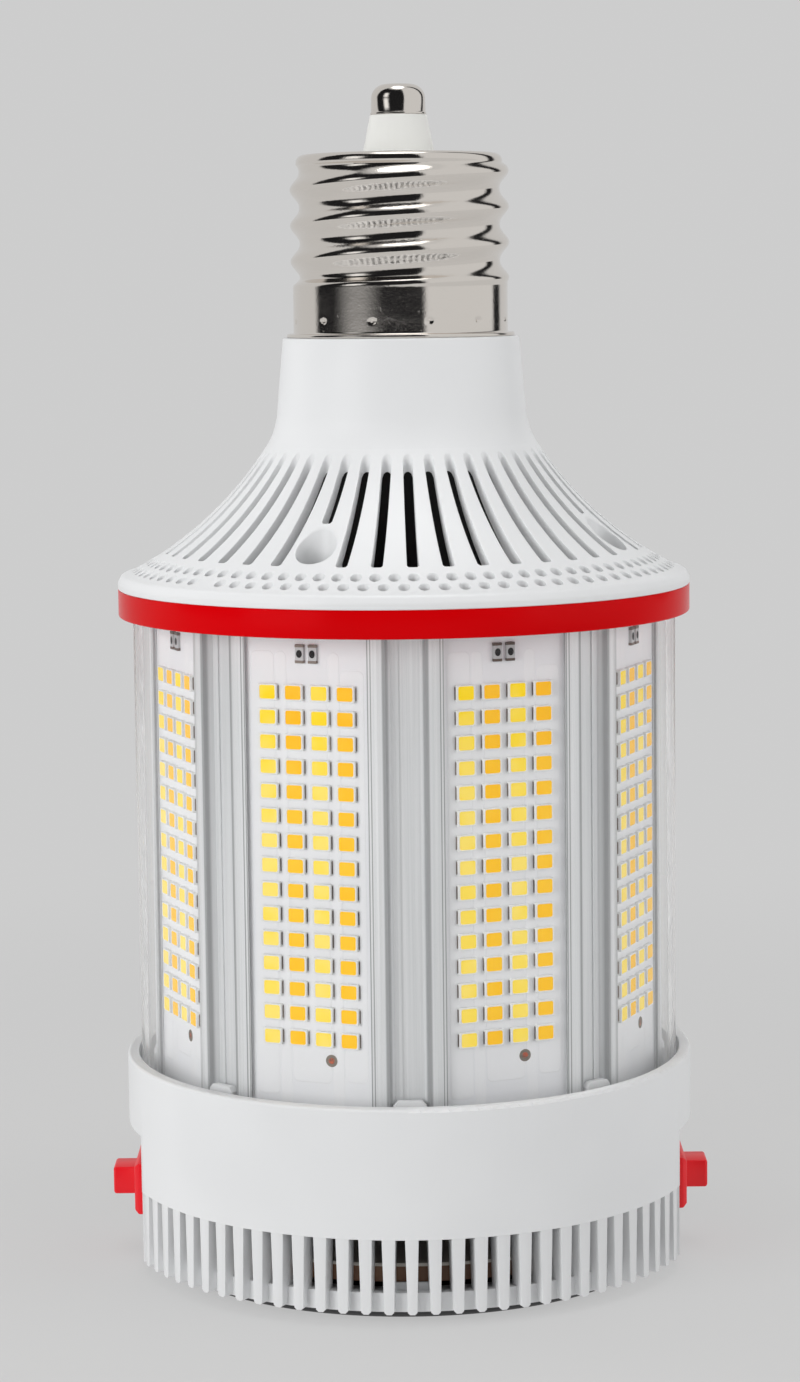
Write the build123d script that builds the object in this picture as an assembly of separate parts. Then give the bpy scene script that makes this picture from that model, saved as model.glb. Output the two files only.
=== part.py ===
from build123d import *
import os
from math import cos, hypot, radians, sin, sqrt

# LED retrofit lamp with a mogul screw base, standing base up on its end plate.
# Millimetres, +Z up the lamp's axis, origin at the middle of the surface it stands on.
# Azimuths are in degrees from the front (-Y), growing towards +X.

# Heights of the visible sections, from the surface upwards
plate_drop = 2.4
cap_height = 35.8
window_height = 79.9
ring_height = 4.9
flare_height = 28.0
neck_height = 16.5
shell_height = 32.4
nose_height = 6.9
contact_height = 5.6

# Outer body
body_radius = 51.6
fit_gap = 0.2

# Clear cover and trim ring
ring_overhang = 2.6
cover_wall = 1.5
cover_gap = 0.6

# Heat sink extrusion and the boards that slide into its rails
sides = 8
sink_clearance = 1.5
board_setback = 4.1
sink_wall = 2.2
rail_wall = 1.23
lip_thickness = 0.75
lip_overlap = 0.5
rail_gap = 0.1
channel_floor = 5.0
channel_flank = 0.9
channel_depth = 1.6
scribe_width = 2.4
scribe_depth = 0.25
board_thickness = 1.6

# Light emitting packages and link resistors on each board
led_columns = 4
led_rows = 15
led_column_pitch = 4.8
led_row_pitch = 4.27
led_width = 3.5
led_height = 2.8
led_thickness = 0.75
led_top_margin = 14.95
link_width = 1.6
link_height = 3.2
link_thickness = 0.6
link_pitch = 2.4
link_top_margin = 8.3

# Screws, their ports in the extrusion and their pockets in the housing
screw_inset = 3.1
screw_radius = 1.45
screw_length = 16.0
screw_head_radius = 2.8
screw_head_height = 2.0
screw_head_sides = 6
screw_gap = 0.1
port_wall = 1.3
pocket_radius = 3.5
pocket_wall = 1.0
pocket_floor = 3.0
screw_count = 4
pocket_azimuth = -22.5

# Neck housing
rim_height = 2.4
flare_edge = 1.4
flare_sag = 2.75
flare_drop = 3.1
rib_drop = 3.0
rib_embed = 0.6
boss_drop = 0.4
neck_taper = 1.5
neck_overhang = 1.6
neck_wall = 2.3
neck_roof = 2.5
spigot_wall = 3.15
spigot_height = 22.0
flare_slots = 44
neck_band = 2.1
rim_band = 8.6
flare_slot_narrow = 1.65
flare_slot_wide = 2.0

# Screw base
shell_wall = 0.6
thread_radius = 19.6
thread_depth = 1.65
skirt_inset = 0.35
skirt_height = 10.1
shell_flange = 1.2
shell_shoulder = 1.5
nose_tip_radius = 5.0
nose_taper = 1.4
nose_flange = 1.7
nose_flange_height = 6.0
contact_inset = 0.1
contact_dome = 3.0
contact_shoulder = 1.0

# Lower cap
cap_round = 0.6
seat_depth = 7.0
shelf_thickness = 2.5
shelf_ledge = 5.8
rib_depth = 4.0
rib_inset = 0.1
rib_chamfer = 0.4
foot_ring_height = 3.3
foot_ring_width = 4.1
foot_ring_setback = 2.0
post_width = 5.8
post_depth = 2.4
post_height = 1.4
vent_height = 13.1
vent_pitch = 4.45
comb_angle = 142.4
vent_top_width = 1.7
vent_bottom_width = 2.35
tab_width = 5.7
tab_thickness = 1.4
tab_rise = 0.2
tab_chamfer = 0.8

# Selector switches on the two flats of the cap
flat_depth = 3.3
flat_margin = 3.0
flat_round = 1.2
flat_wall = 2.3
knob_level = 11.3
knob_width = 6.6
knob_height = 5.0
knob_reach = 4.3
knob_round = 0.5
bezel_width = 19.6
bezel_height = 9.4
bezel_thickness = 1.9
bezel_chamfer = 0.7
slide_gap = 0.15
lever_width = 3.0
lever_height = 2.4
lever_grip = 2.0
lever_gap = 0.35
slide_travel = 2.5
switch_width = 15.0
switch_depth = 9.0
switch_headroom = 3.4

# Boards, driver and insulation inside
plate_thickness = 4.2
plate_chamfer = 0.6
label_recess = 0.4
label_margin = 7.3
control_board_thickness = 3.2
sleeve_wall = 0.8
sleeve_reach = 8.0
driver_board_gap = 1.5
driver_board_setback = 6.8
driver_board_inset = 2.0
component_gap = 2.0
capacitor_count = 2
capacitor_radius = 8.0
capacitor_length = 31.0
capacitor_level = 14.0
transformer_size = (20.0, 15.0, 21.0)
choke_radius = 7.0
choke_bore = 3.2
choke_thickness = 8.0
film_size = (13.0, 6.0, 11.0)
film_top_margin = 5.2
fuse_radius = 2.6
fuse_length = 9.0
lead_radius = 0.9
lead_gap = 0.5

# Levels worked out from the sections
cap_bottom = plate_drop
cap_top = cap_bottom + cap_height
ring_bottom = cap_top + window_height
rim_bottom = ring_bottom + ring_height
rim_top = rim_bottom + rim_height
neck_foot = rim_bottom + flare_height
neck_top = neck_foot + neck_height
shell_top = neck_top + shell_height
nose_top = shell_top + nose_height
shelf_top = cap_top - seat_depth
shelf_bottom = shelf_top - shelf_thickness
foot_ring_top = cap_bottom + foot_ring_height
vent_top = cap_bottom + vent_height
flat_top = shelf_bottom - flat_margin
knob_axis = cap_bottom + knob_level
control_bottom = foot_ring_top + post_height
control_top = control_bottom + control_board_thickness
sleeve_top = neck_foot + sleeve_reach
pocket_level = rim_bottom + pocket_floor

# Radii and places worked out from the sizes
cover_radius = body_radius - ring_overhang
corner_distance = cover_radius - cover_wall - sink_clearance
board_seat = corner_distance - board_setback
board_front = board_seat + board_thickness
lip_under = board_front + rail_gap
lip_face = lip_under + lip_thickness
half_side = radians(180 / sides)
half_face = (corner_distance - lip_face * cos(half_side)) / sin(half_side)
board_width = 2 * (half_face - rail_wall - rail_gap)
screw_circle = board_seat - screw_inset
port_radius = screw_radius + screw_gap
foot_ring_outer = body_radius - foot_ring_setback
foot_ring_inner = foot_ring_outer - foot_ring_width
rib_inner = body_radius - rib_depth
collar_inner = cover_radius + cover_gap
shelf_opening = screw_circle - shelf_ledge
flat_distance = body_radius - flat_depth
flat_inner = flat_distance - flat_wall
neck_top_radius = thread_radius + neck_overhang
neck_foot_radius = neck_top_radius + neck_taper
neck_bore = neck_top_radius - neck_wall
flare_slot_start = neck_foot_radius + neck_band
flare_slot_end = body_radius - rim_band
skirt_radius = thread_radius - skirt_inset
skirt_inner = skirt_radius - shell_wall
thread_inner = thread_radius - thread_depth - shell_wall
spigot_bore = thread_inner - fit_gap - spigot_wall
lead_offset = spigot_bore - lead_gap - lead_radius
nose_flange_radius = lead_offset - lead_radius - lead_gap
roof_hole = nose_flange_radius - nose_flange
nose_foot_radius = nose_tip_radius + nose_taper
contact_radius = nose_tip_radius - contact_inset
sleeve_radius = neck_bore - fit_gap
sleeve_inner = sleeve_radius - sleeve_wall
driver_board_width = 2 * (sqrt(sleeve_inner**2 - driver_board_setback**2) - driver_board_gap)
driver_face = board_thickness - driver_board_setback
driver_top = sleeve_top - driver_board_inset
capacitor_pitch = capacitor_length + component_gap
transformer_level = capacitor_level + capacitor_count * capacitor_pitch
film_level = driver_top - control_top - film_top_margin - film_size[2]
choke_level = film_level - component_gap - 2 * choke_radius
fuse_offset = film_size[0] / 2 + fuse_radius + component_gap
vents_each_side = round(comb_angle / vent_pitch)
last_vent = (comb_angle - vent_pitch) / 2
board_azimuths = [360 / sides * (side + 0.5) for side in range(sides)]
corner_azimuths = [360 / sides * side for side in range(sides)]
screw_azimuths = [pocket_azimuth + 360 / screw_count * turn for turn in range(screw_count)]
selector_azimuths = {"power": 90, "color": 270}
post_azimuths = [azimuth for azimuth in corner_azimuths if azimuth not in selector_azimuths.values()]
flare_foot = (body_radius - flare_edge, rim_top)
flare_head = (neck_foot_radius, neck_foot)
outwards = Plane((0, 0, 0), x_dir=(0, 1, 0), z_dir=(1, 0, 0))


def around(azimuth):
    """Frame whose local X points out of the lamp at this azimuth, with local Y along the surface."""
    return Rot(0, 0, azimuth - 90)


def block(size_out, size_along, size_up, out, up, along=0):
    """Box that starts at a distance out from the axis and at a level, centred along the surface."""
    box = Box(size_out, size_along, size_up, align=(Align.MIN, Align.CENTER, Align.MIN))
    return Pos(out, along, up) * box


def tube(outer, inner, bottom, top):
    """Plain ring on the lamp's axis between two levels."""
    return Pos(0, 0, bottom) * extrude(Circle(outer) - Circle(inner), top - bottom)


def rod(radius, bottom, top):
    """Plain round bar on the lamp's axis between two levels."""
    return Pos(0, 0, bottom) * extrude(Circle(radius), top - bottom)


def turned(profile):
    """Solid of revolution of a flat profile drawn as (radius, level)."""
    return revolve(Plane.XZ * profile, Axis.Z)


def outline(*points):
    """Flat face with straight sides through the points."""
    return make_face(Polyline(*points, close=True))


def center_contact():
    """Domed cap of the centre contact on the tip of the nose."""
    top = nose_top + contact_height
    return turned(
        outline(
            (0, nose_top),
            (contact_radius, nose_top),
            (contact_radius, top - contact_dome),
            (contact_radius - contact_shoulder, top - contact_shoulder),
            (contact_radius - contact_dome, top),
            (0, top),
        )
    )


def contact_insulator():
    """Insulating nose that carries the centre contact, flanged under the shell's roof."""
    under_roof = shell_top - shell_wall
    return turned(
        outline(
            (0, under_roof - nose_flange_height),
            (nose_flange_radius, under_roof - nose_flange_height),
            (nose_flange_radius, under_roof),
            (roof_hole - fit_gap, under_roof),
            (roof_hole - fit_gap, shell_top),
            (nose_foot_radius, shell_top),
            (nose_tip_radius, nose_top),
            (0, nose_top),
        )
    )


def screw_shell():
    """Drawn metal shell of the screw base: flange, skirt, threaded length and turned-in roof."""
    skirt_top = neck_top + skirt_height
    flange_radius = skirt_radius + shell_flange
    return turned(
        outline(
            (skirt_inner, neck_top),
            (flange_radius, neck_top),
            (flange_radius, neck_top + shell_wall),
            (skirt_radius, neck_top + shell_wall),
            (skirt_radius, skirt_top),
            (thread_radius, skirt_top),
            (thread_radius, shell_top - shell_shoulder),
            (thread_radius - shell_shoulder, shell_top),
            (roof_hole, shell_top),
            (roof_hole, shell_top - shell_wall),
            (thread_inner, shell_top - shell_wall),
            (thread_inner, skirt_top - shell_wall),
            (skirt_inner, skirt_top - shell_wall),
        )
    )


def flare_level(radius):
    """Level of the flare's hollow outside at a radius, on the arc from the rim up to the neck."""
    run = flare_foot[0] - flare_head[0]
    rise = flare_head[1] - flare_foot[1]
    half_chord = hypot(run, rise) / 2
    arc_radius = (half_chord**2 + flare_sag**2) / (2 * flare_sag)
    share = (arc_radius - flare_sag) / (2 * half_chord)
    center_radius = (flare_foot[0] + flare_head[0]) / 2 + rise * share
    center_level = (flare_foot[1] + flare_head[1]) / 2 + run * share
    return center_level - sqrt(arc_radius**2 - (radius - center_radius) ** 2)


def flare_curve(inner, outer, drop=0):
    """The flare's arc between two radii, lowered by a drop."""
    middle = (inner + outer) / 2
    return ThreePointArc(*((radius, flare_level(radius) - drop) for radius in (inner, middle, outer)))


def under_flare(inner, outer, drop, floor):
    """Flat section between two radii, from the lowered flare down to a floor level."""
    sides = Polyline(
        (outer, flare_level(outer) - drop),
        (outer, floor),
        (inner, floor),
        (inner, flare_level(inner) - drop),
    )
    return make_face(flare_curve(inner, outer, drop) + sides)


def flare_rim():
    """Ring at the foot of the flare: rolled rim, seat of the cover and the band outside the slots."""
    seat = cover_radius - cover_wall - fit_gap
    inner = flare_slot_end
    return turned(
        outline(
            flare_foot,
            (body_radius, rim_top - flare_edge),
            (body_radius, rim_bottom),
            (seat, rim_bottom),
            (seat, flare_level(seat) - flare_drop),
            (inner, flare_level(inner) - flare_drop),
            (inner, flare_level(inner)),
        )
    )


def neck():
    """Neck above the slots, its roof and the spigot that the screw shell is crimped on."""
    outer = flare_slot_start
    foot = flare_level(outer) - flare_drop
    spigot_top = neck_top + spigot_height
    spigot_step = neck_top + skirt_height - shell_wall - fit_gap
    return turned(
        outline(
            (outer, flare_level(outer)),
            (outer, foot),
            (neck_bore, foot),
            (neck_bore, neck_top - neck_roof),
            (spigot_bore, neck_top - neck_roof),
            (spigot_bore, spigot_top),
            (thread_inner - fit_gap, spigot_top),
            (thread_inner - fit_gap, spigot_step),
            (skirt_inner - fit_gap, spigot_step),
            (skirt_inner - fit_gap, neck_top),
            (neck_top_radius, neck_top),
            flare_head,
        )
    )


def flare_rib(azimuth):
    """Bar between two neighbouring slots, from the neck out to the rim, widening outwards."""
    pitch = radians(360 / flare_slots)
    inner = flare_slot_start - rib_embed
    outer = flare_slot_end + rib_embed
    half_inner = (flare_slot_start * pitch - flare_slot_narrow) / 2
    half_outer = (flare_slot_end * pitch - flare_slot_wide) / 2
    plan = outline((inner, -half_inner), (outer, -half_outer), (outer, half_outer), (inner, half_inner))
    bar = Pos(0, 0, rim_bottom) * extrude(plan, neck_foot - rim_bottom)
    band = make_face(
        flare_curve(inner, outer, rib_inset)
        + Line((outer, flare_level(outer) - rib_inset), (outer, flare_level(outer) - rib_drop))
        + Line((outer, flare_level(outer) - rib_drop), (inner, flare_level(inner) - rib_drop))
        + Line((inner, flare_level(inner) - rib_drop), (inner, flare_level(inner) - rib_inset))
    )
    return around(azimuth) * (bar & extrude(Plane.XZ * band, 2 * half_outer, both=True))


def screw_pocket(body, azimuth):
    """Add one boss under the flare and cut its screw pocket and hole."""
    boss_radius = pocket_radius + pocket_wall
    section = under_flare(screw_circle - boss_radius, screw_circle + boss_radius, boss_drop, rim_bottom)
    place = around(azimuth)
    axis = place * Pos(screw_circle, 0, 0)
    shape = extrude(Plane.XZ * section, 2 * boss_radius, both=True)
    body += place * (shape & Pos(screw_circle, 0, 0) * rod(boss_radius, rim_bottom, neck_foot))
    body -= axis * rod(pocket_radius, pocket_level, neck_foot)
    return body - axis * rod(port_radius, rim_bottom, pocket_level)


def neck_housing():
    """Neck and rim joined by the ribs of the flare, with the four screw pockets."""
    pitch = 360 / flare_slots
    body = neck() + flare_rim()
    body += [flare_rib(pocket_azimuth + pitch * (turn + 0.5)) for turn in range(flare_slots)]
    for azimuth in screw_azimuths:
        body = screw_pocket(body, azimuth)
    return body


def heat_sink():
    """Eight-sided extrusion with a rail pocket for each board and a channel down each corner."""
    section = RegularPolygon(lip_face, sides, major_radius=False)
    section &= RegularPolygon(corner_distance, sides, major_radius=False, rotation=180 / sides)
    section -= RegularPolygon(board_seat - sink_wall, sides, major_radius=False)
    pocket_depth = lip_under - board_seat
    pocket = Pos(board_seat + pocket_depth / 2, 0) * Rectangle(pocket_depth, board_width + 2 * rail_gap)
    mouth = Pos(lip_face, 0) * Rectangle(2 * lip_thickness, board_width - 2 * lip_overlap)
    half_floor = channel_floor / 2
    floor = corner_distance - channel_depth
    channel = outline(
        (corner_distance, -half_floor - channel_flank),
        (floor, -half_floor),
        (floor, half_floor),
        (corner_distance, half_floor + channel_flank),
    )
    scribe = Pos(floor, 0) * Rectangle(2 * scribe_depth, scribe_width)
    section -= [around(azimuth) * cut for azimuth in board_azimuths for cut in (pocket, mouth)]
    section -= [around(azimuth) * cut for azimuth in corner_azimuths for cut in (channel, scribe)]
    ports = [around(azimuth) * Pos(screw_circle, 0) for azimuth in screw_azimuths]
    section += [port * Circle(port_radius + port_wall) for port in ports]
    section -= [port * Circle(port_radius) for port in ports]
    return Pos(0, 0, shelf_top) * extrude(section, rim_bottom - shelf_top)


def led_board():
    """Metal-core board that slides into one pair of rails."""
    return block(board_thickness, board_width, rim_bottom - shelf_top, board_seat, shelf_top)


def led_column(column):
    """One column of packages on a board, counted from its left edge as seen from outside."""
    along = (column - (led_columns - 1) / 2) * led_column_pitch
    top = rim_bottom - led_top_margin - led_height / 2
    return [
        block(led_thickness, led_width, led_height, board_front, top - row * led_row_pitch, along)
        for row in range(led_rows)
    ]


def leds(first_column):
    """Every second column of a board: the packages of one light colour."""
    return [package for column in range(first_column, led_columns, 2) for package in led_column(column)]


def link_resistors():
    """Pair of chip links near the top of each board."""
    level = rim_bottom - link_top_margin - link_height / 2
    pair = [
        block(link_thickness, link_width, link_height, board_front, level, side * link_pitch / 2)
        for side in (-1, 1)
    ]
    return [around(azimuth) * link for azimuth in board_azimuths for link in pair]


def screw(head_level, upwards):
    """Hexagon-headed screw with its head on a level, pointing up or down."""
    head = RegularPolygon(screw_head_radius, screw_head_sides, major_radius=False)
    body = extrude(head, -screw_head_height) + rod(screw_radius, 0, screw_length)
    return Pos(0, 0, head_level) * Rot(0 if upwards else 180, 0, 0) * body


def screw_set(head_level, upwards):
    """One screw at each port of the extrusion."""
    one = Pos(screw_circle, 0, 0) * screw(head_level, upwards)
    return [around(azimuth) * one for azimuth in screw_azimuths]


def rib(azimuth):
    """One tapered rib of the comb, drawn on its face and extruded through the wall."""
    pitch = body_radius * radians(vent_pitch)
    head = (pitch - vent_top_width) / 2
    foot = (pitch - vent_bottom_width) / 2
    face = outline(
        (-head, vent_top),
        (head, vent_top),
        (foot, cap_bottom + rib_chamfer),
        (foot - rib_chamfer, cap_bottom),
        (rib_chamfer - foot, cap_bottom),
        (-foot, cap_bottom + rib_chamfer),
    )
    bar = extrude(outwards * face, rib_depth - 2 * rib_inset)
    return around(azimuth) * Pos(rib_inner + rib_inset, 0, 0) * bar


def locating_tab(azimuth):
    """Tab that stands on the shelf inside one corner channel of the extrusion."""
    height = cap_top + tab_rise - shelf_top
    face = Rectangle(tab_width, height, align=(Align.CENTER, Align.MIN))
    face = chamfer(face.vertices().group_by(Axis.Y)[-1], tab_chamfer)
    side_room = (tab_width - channel_floor) / 2 * channel_depth / channel_flank
    start = corner_distance - channel_depth + side_room + fit_gap
    return around(azimuth) * Pos(start, 0, shelf_top) * extrude(outwards * face, tab_thickness)


def flat_cut():
    """Cut that makes one flat, with its upper end rounded out to the collar."""
    corner = body_radius - flat_round
    outer = body_radius + fit_gap
    arc_top = flat_top + flat_round
    sides = Polyline(
        (body_radius, arc_top),
        (outer, arc_top),
        (outer, cap_bottom),
        (flat_distance, cap_bottom),
        (flat_distance, flat_top),
        (corner, flat_top),
    )
    arc = TangentArc((corner, flat_top), (body_radius, arc_top), tangent=(1, 0))
    return extrude(Plane.XZ * make_face(sides + arc), body_radius, both=True)


def cap_flat(body, azimuth):
    """Cut one flat into the cap, backed by a straight wall with the window for a switch lever."""
    panel_width = 2 * body_radius * cos(radians(last_vent)) - vent_bottom_width
    lever_room = lever_width + 2 * (slide_travel + lever_gap)
    lever_rise = lever_height + 2 * lever_gap
    backing = flat_top + flat_wall - foot_ring_top
    panel = tube(body_radius, rib_inner, cap_bottom, vent_top)
    place = around(azimuth)
    body += place * (panel & block(body_radius, panel_width, cap_height, 0, cap_bottom))
    pad = block(rib_depth, panel_width, backing, flat_inner, foot_ring_top)
    body += place * (pad & rod(body_radius - rib_inset, cap_bottom, cap_top))
    body -= place * flat_cut()
    return body - place * block(rib_depth, lever_room, lever_rise, flat_inner, knob_axis - lever_rise / 2)


def bottom_cap():
    """White lower cap: collar round the cover, shelf under the extrusion, comb of ribs and two flats."""
    section = outline(
        (rib_inner, vent_top),
        (body_radius, vent_top),
        (body_radius, cap_top),
        (collar_inner, cap_top),
        (collar_inner, shelf_top),
        (shelf_opening, shelf_top),
        (shelf_opening, shelf_bottom),
        (rib_inner, shelf_bottom),
    )
    rim = section.vertices().group_by(Axis.Y)[-1].sort_by(Axis.X)[-1]
    body = turned(fillet(rim, cap_round))
    gaps = [vent_pitch * turn - last_vent for turn in range(vents_each_side)]
    ribs = [(gap + after) / 2 + half for half in (0, 180) for gap, after in zip(gaps, gaps[1:])]
    body += tube(foot_ring_outer, foot_ring_inner, cap_bottom, foot_ring_top)
    post = block(post_depth, post_width, post_height, foot_ring_inner, foot_ring_top)
    body += [around(azimuth) * post for azimuth in post_azimuths]
    body += [rib(azimuth) for azimuth in ribs]
    for azimuth in selector_azimuths.values():
        body = cap_flat(body, azimuth)
    body += [locating_tab(azimuth) for azimuth in corner_azimuths]
    hole = Pos(screw_circle, 0, 0) * rod(port_radius, shelf_bottom, shelf_top)
    return body - [around(azimuth) * hole for azimuth in screw_azimuths]


def end_plate():
    """Dark plate that closes the bottom and carries the lamp, with a bare shallow recess below."""
    edge = foot_ring_inner - fit_gap
    label_radius = edge - label_margin
    return turned(
        outline(
            (0, label_recess),
            (label_radius, label_recess),
            (label_radius, 0),
            (edge - plate_chamfer, 0),
            (edge, plate_chamfer),
            (edge, plate_thickness),
            (0, plate_thickness),
        )
    )


def control_board():
    """Round board on the posts, cut back at the two flats, that carries the selector switches."""
    disc = rod(rib_inner - fit_gap, control_bottom, control_top)
    width = 2 * (flat_inner - fit_gap)
    return disc & Pos(0, 0, control_bottom) * Box(
        width, 2 * body_radius, control_board_thickness, align=(Align.CENTER, Align.CENTER, Align.MIN)
    )


def switch_body():
    """Slide switch on the control board, open towards the flat for its lever."""
    outer_face = flat_inner - fit_gap
    height = knob_axis + switch_headroom - control_top
    case = block(switch_depth, switch_width, height, outer_face - switch_depth, control_top)
    slot_width = lever_width + 2 * (slide_travel + lever_gap)
    slot_height = lever_height + 2 * lever_gap
    slot_depth = switch_depth / 2
    slot_foot = knob_axis - slot_height / 2
    return case - block(slot_depth, slot_width, slot_height, outer_face - slot_depth, slot_foot)


def switch_lever():
    """Lever of a slide switch, from inside its case into the back of the knob."""
    start = flat_inner - fit_gap - switch_depth / 2 + lever_gap
    reach = flat_distance + slide_gap + bezel_thickness + lever_grip - start
    return block(reach, lever_width, lever_height, start, knob_axis - lever_height / 2)


def selector_knob():
    """Knob on a wide bezel that slides along the flat and keeps its window covered."""
    back = flat_distance + slide_gap
    bezel = block(bezel_thickness, bezel_width, bezel_height, back, knob_axis - bezel_height / 2)
    bezel = chamfer(bezel.faces().sort_by(Axis.X)[-1].edges(), bezel_chamfer)
    front = back + bezel_thickness
    grip = block(knob_reach, knob_width, knob_height, front, knob_axis - knob_height / 2)
    grip = fillet(grip.faces().sort_by(Axis.X)[-1].edges(), knob_round)
    socket_width = lever_width + fit_gap
    socket_height = lever_height + fit_gap
    depth = bezel_thickness + lever_grip + fit_gap
    return bezel + grip - block(depth, socket_width, socket_height, back, knob_axis - socket_height / 2)


def driver_board():
    """Upright board of the power supply, standing on the control board inside the sleeve."""
    return Pos(0, -driver_board_setback, control_top) * Box(
        driver_board_width,
        board_thickness,
        driver_top - control_top,
        align=(Align.CENTER, Align.MIN, Align.MIN),
    )


def on_driver(shape, level, along=0):
    """Place a component with its back on the driver board's face and its foot at a level."""
    return Pos(along, driver_face, control_top + level) * shape


def bulk_capacitors():
    """Can capacitors standing one above the other against the driver board."""
    can = Pos(0, capacitor_radius, 0) * extrude(Circle(capacitor_radius), capacitor_length)
    levels = [capacitor_level + capacitor_pitch * turn for turn in range(capacitor_count)]
    return [on_driver(can, level) for level in levels]


def component_box(size):
    """Box component with its back on the driver board."""
    return Box(*size, align=(Align.CENTER, Align.MIN, Align.MIN))


def input_choke():
    """Ring core lying flat on the driver board."""
    ring = extrude(Plane.XZ * (Circle(choke_radius) - Circle(choke_bore)), -choke_thickness)
    return on_driver(Pos(0, 0, choke_radius) * ring, choke_level)


def input_fuse():
    """Upright fuse beside the film capacitor."""
    body = Pos(0, fuse_radius, 0) * extrude(Circle(fuse_radius), fuse_length)
    return on_driver(body, film_level, fuse_offset)


def base_leads():
    """Line lead up the axis to the foot of the insulator and neutral lead up to the shell's roof."""
    neutral = Pos(lead_offset, 0, 0) * rod(lead_radius, driver_top, shell_top - shell_wall)
    return [rod(lead_radius, driver_top, shell_top - shell_wall - nose_flange_height), neutral]


def save(name, shape):
    """Write one node, whether it is a single solid or a group of separate ones."""
    solids = shape if isinstance(shape, list) else [shape]
    found = [solid for item in solids for solid in item.solids()]
    export_step(found[0] if len(found) == 1 else Compound(children=found), f"parts/{name}.step")
    print(f"{name}: {len(found)} solid(s), {sum(solid.volume for solid in found):.1f} mm3")


os.makedirs("parts", exist_ok=True)
save("center_contact", center_contact())
save("contact_insulator", contact_insulator())
save("screw_shell", screw_shell())
save("neck_housing", neck_housing())
save("trim_ring", tube(body_radius, cover_radius + fit_gap, ring_bottom, rim_bottom))
save("clear_cover", tube(cover_radius, cover_radius - cover_wall, shelf_top, rim_bottom))
save("heat_sink", heat_sink())
for number, azimuth in enumerate(board_azimuths, 1):
    save(f"led_board_{number}", around(azimuth) * led_board())
    save(f"cool_leds_{number}", [around(azimuth) * package for package in leds(0)])
    save(f"warm_leds_{number}", [around(azimuth) * package for package in leds(1)])
save("link_resistors", link_resistors())
save("housing_screws", screw_set(pocket_level, upwards=False))
save("cap_screws", screw_set(shelf_bottom, upwards=True))
save("bottom_cap", bottom_cap())
save("end_plate", end_plate())
save("control_board", control_board())
for name, azimuth in selector_azimuths.items():
    save(f"{name}_switch", around(azimuth) * switch_body())
    save(f"{name}_lever", around(azimuth) * switch_lever())
    save(f"{name}_knob", around(azimuth) * selector_knob())
save("driver_sleeve", tube(sleeve_radius, sleeve_inner, control_top, sleeve_top))
save("driver_board", driver_board())
save("bulk_capacitors", bulk_capacitors())
save("transformer", on_driver(component_box(transformer_size), transformer_level))
save("input_choke", input_choke())
save("film_capacitor", on_driver(component_box(film_size), film_level))
save("input_fuse", input_fuse())
save("base_leads", base_leads())
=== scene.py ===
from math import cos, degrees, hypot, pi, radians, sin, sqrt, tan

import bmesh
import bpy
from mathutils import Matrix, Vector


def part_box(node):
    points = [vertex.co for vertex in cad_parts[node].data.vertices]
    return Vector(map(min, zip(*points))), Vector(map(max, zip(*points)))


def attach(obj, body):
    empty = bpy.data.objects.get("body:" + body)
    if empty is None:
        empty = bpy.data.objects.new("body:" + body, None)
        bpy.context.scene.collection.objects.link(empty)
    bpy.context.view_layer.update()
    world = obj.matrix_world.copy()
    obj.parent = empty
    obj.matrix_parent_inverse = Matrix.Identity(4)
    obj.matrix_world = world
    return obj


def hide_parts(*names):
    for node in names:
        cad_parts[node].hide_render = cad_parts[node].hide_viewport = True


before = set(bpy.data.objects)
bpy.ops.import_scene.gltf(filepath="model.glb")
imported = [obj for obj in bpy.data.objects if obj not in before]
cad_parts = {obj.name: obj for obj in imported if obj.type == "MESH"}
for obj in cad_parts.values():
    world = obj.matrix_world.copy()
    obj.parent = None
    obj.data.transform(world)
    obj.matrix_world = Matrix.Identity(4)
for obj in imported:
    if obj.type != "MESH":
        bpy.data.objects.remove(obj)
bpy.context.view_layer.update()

# %% [markdown]
# # Dressing an LED retrofit lamp
# The lamp stands base up: a plated screw base, a white slotted housing, a red trim ring, a clear
# cover over eight light boards, and a white lower cap with a comb of ribs and two red selectors.
# The solids of the lamp are already in the scene as a fixed frame. This lesson gives every piece
# its finish and swaps the plain solids for pieces with rounded edges and fine detail.

MM = 0.001
LAMP = "lamp"
scene = bpy.context.scene
scene.view_settings.view_transform = "Standard"


def span(node):
    """Lowest and highest corner of a solid, in millimetres."""
    low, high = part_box(node)
    return low / MM, high / MM


# %% [markdown]
# ## Camera
# The picture was taken from a little above the lamp's shoulder, with a long lens, so the upright
# lines hardly converge. The camera is placed by its distance, height, pitch and roll.

# %% Camera
focal_pixels = 3400
frame_height = 1382
sensor = 36.0
camera_distance = 614.0
camera_level = 176.7
camera_side = -0.9
pitch_down = 6.81
roll = 0.68

lens = bpy.data.cameras.new("photo_lens")
lens.sensor_fit = "VERTICAL"
lens.sensor_height = sensor
lens.lens = focal_pixels / frame_height * sensor
lens.clip_start = 0.01
camera = bpy.data.objects.new("photo_camera", lens)
camera.matrix_world = (
    Matrix.Translation(Vector((camera_side, -camera_distance, camera_level)) * MM)
    @ Matrix.Rotation(radians(90 - pitch_down), 4, "X")
    @ Matrix.Rotation(radians(-roll), 4, "Z")
)
scene.collection.objects.link(camera)
scene.camera = camera
print("lens", round(lens.lens, 1), "mm")

# %% [markdown]
# ## Small tools for node trees
# Both geometry and shader trees are wired from the same two helpers: one adds a node and plugs
# values or other nodes into its inputs, the other does arithmetic.


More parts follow.
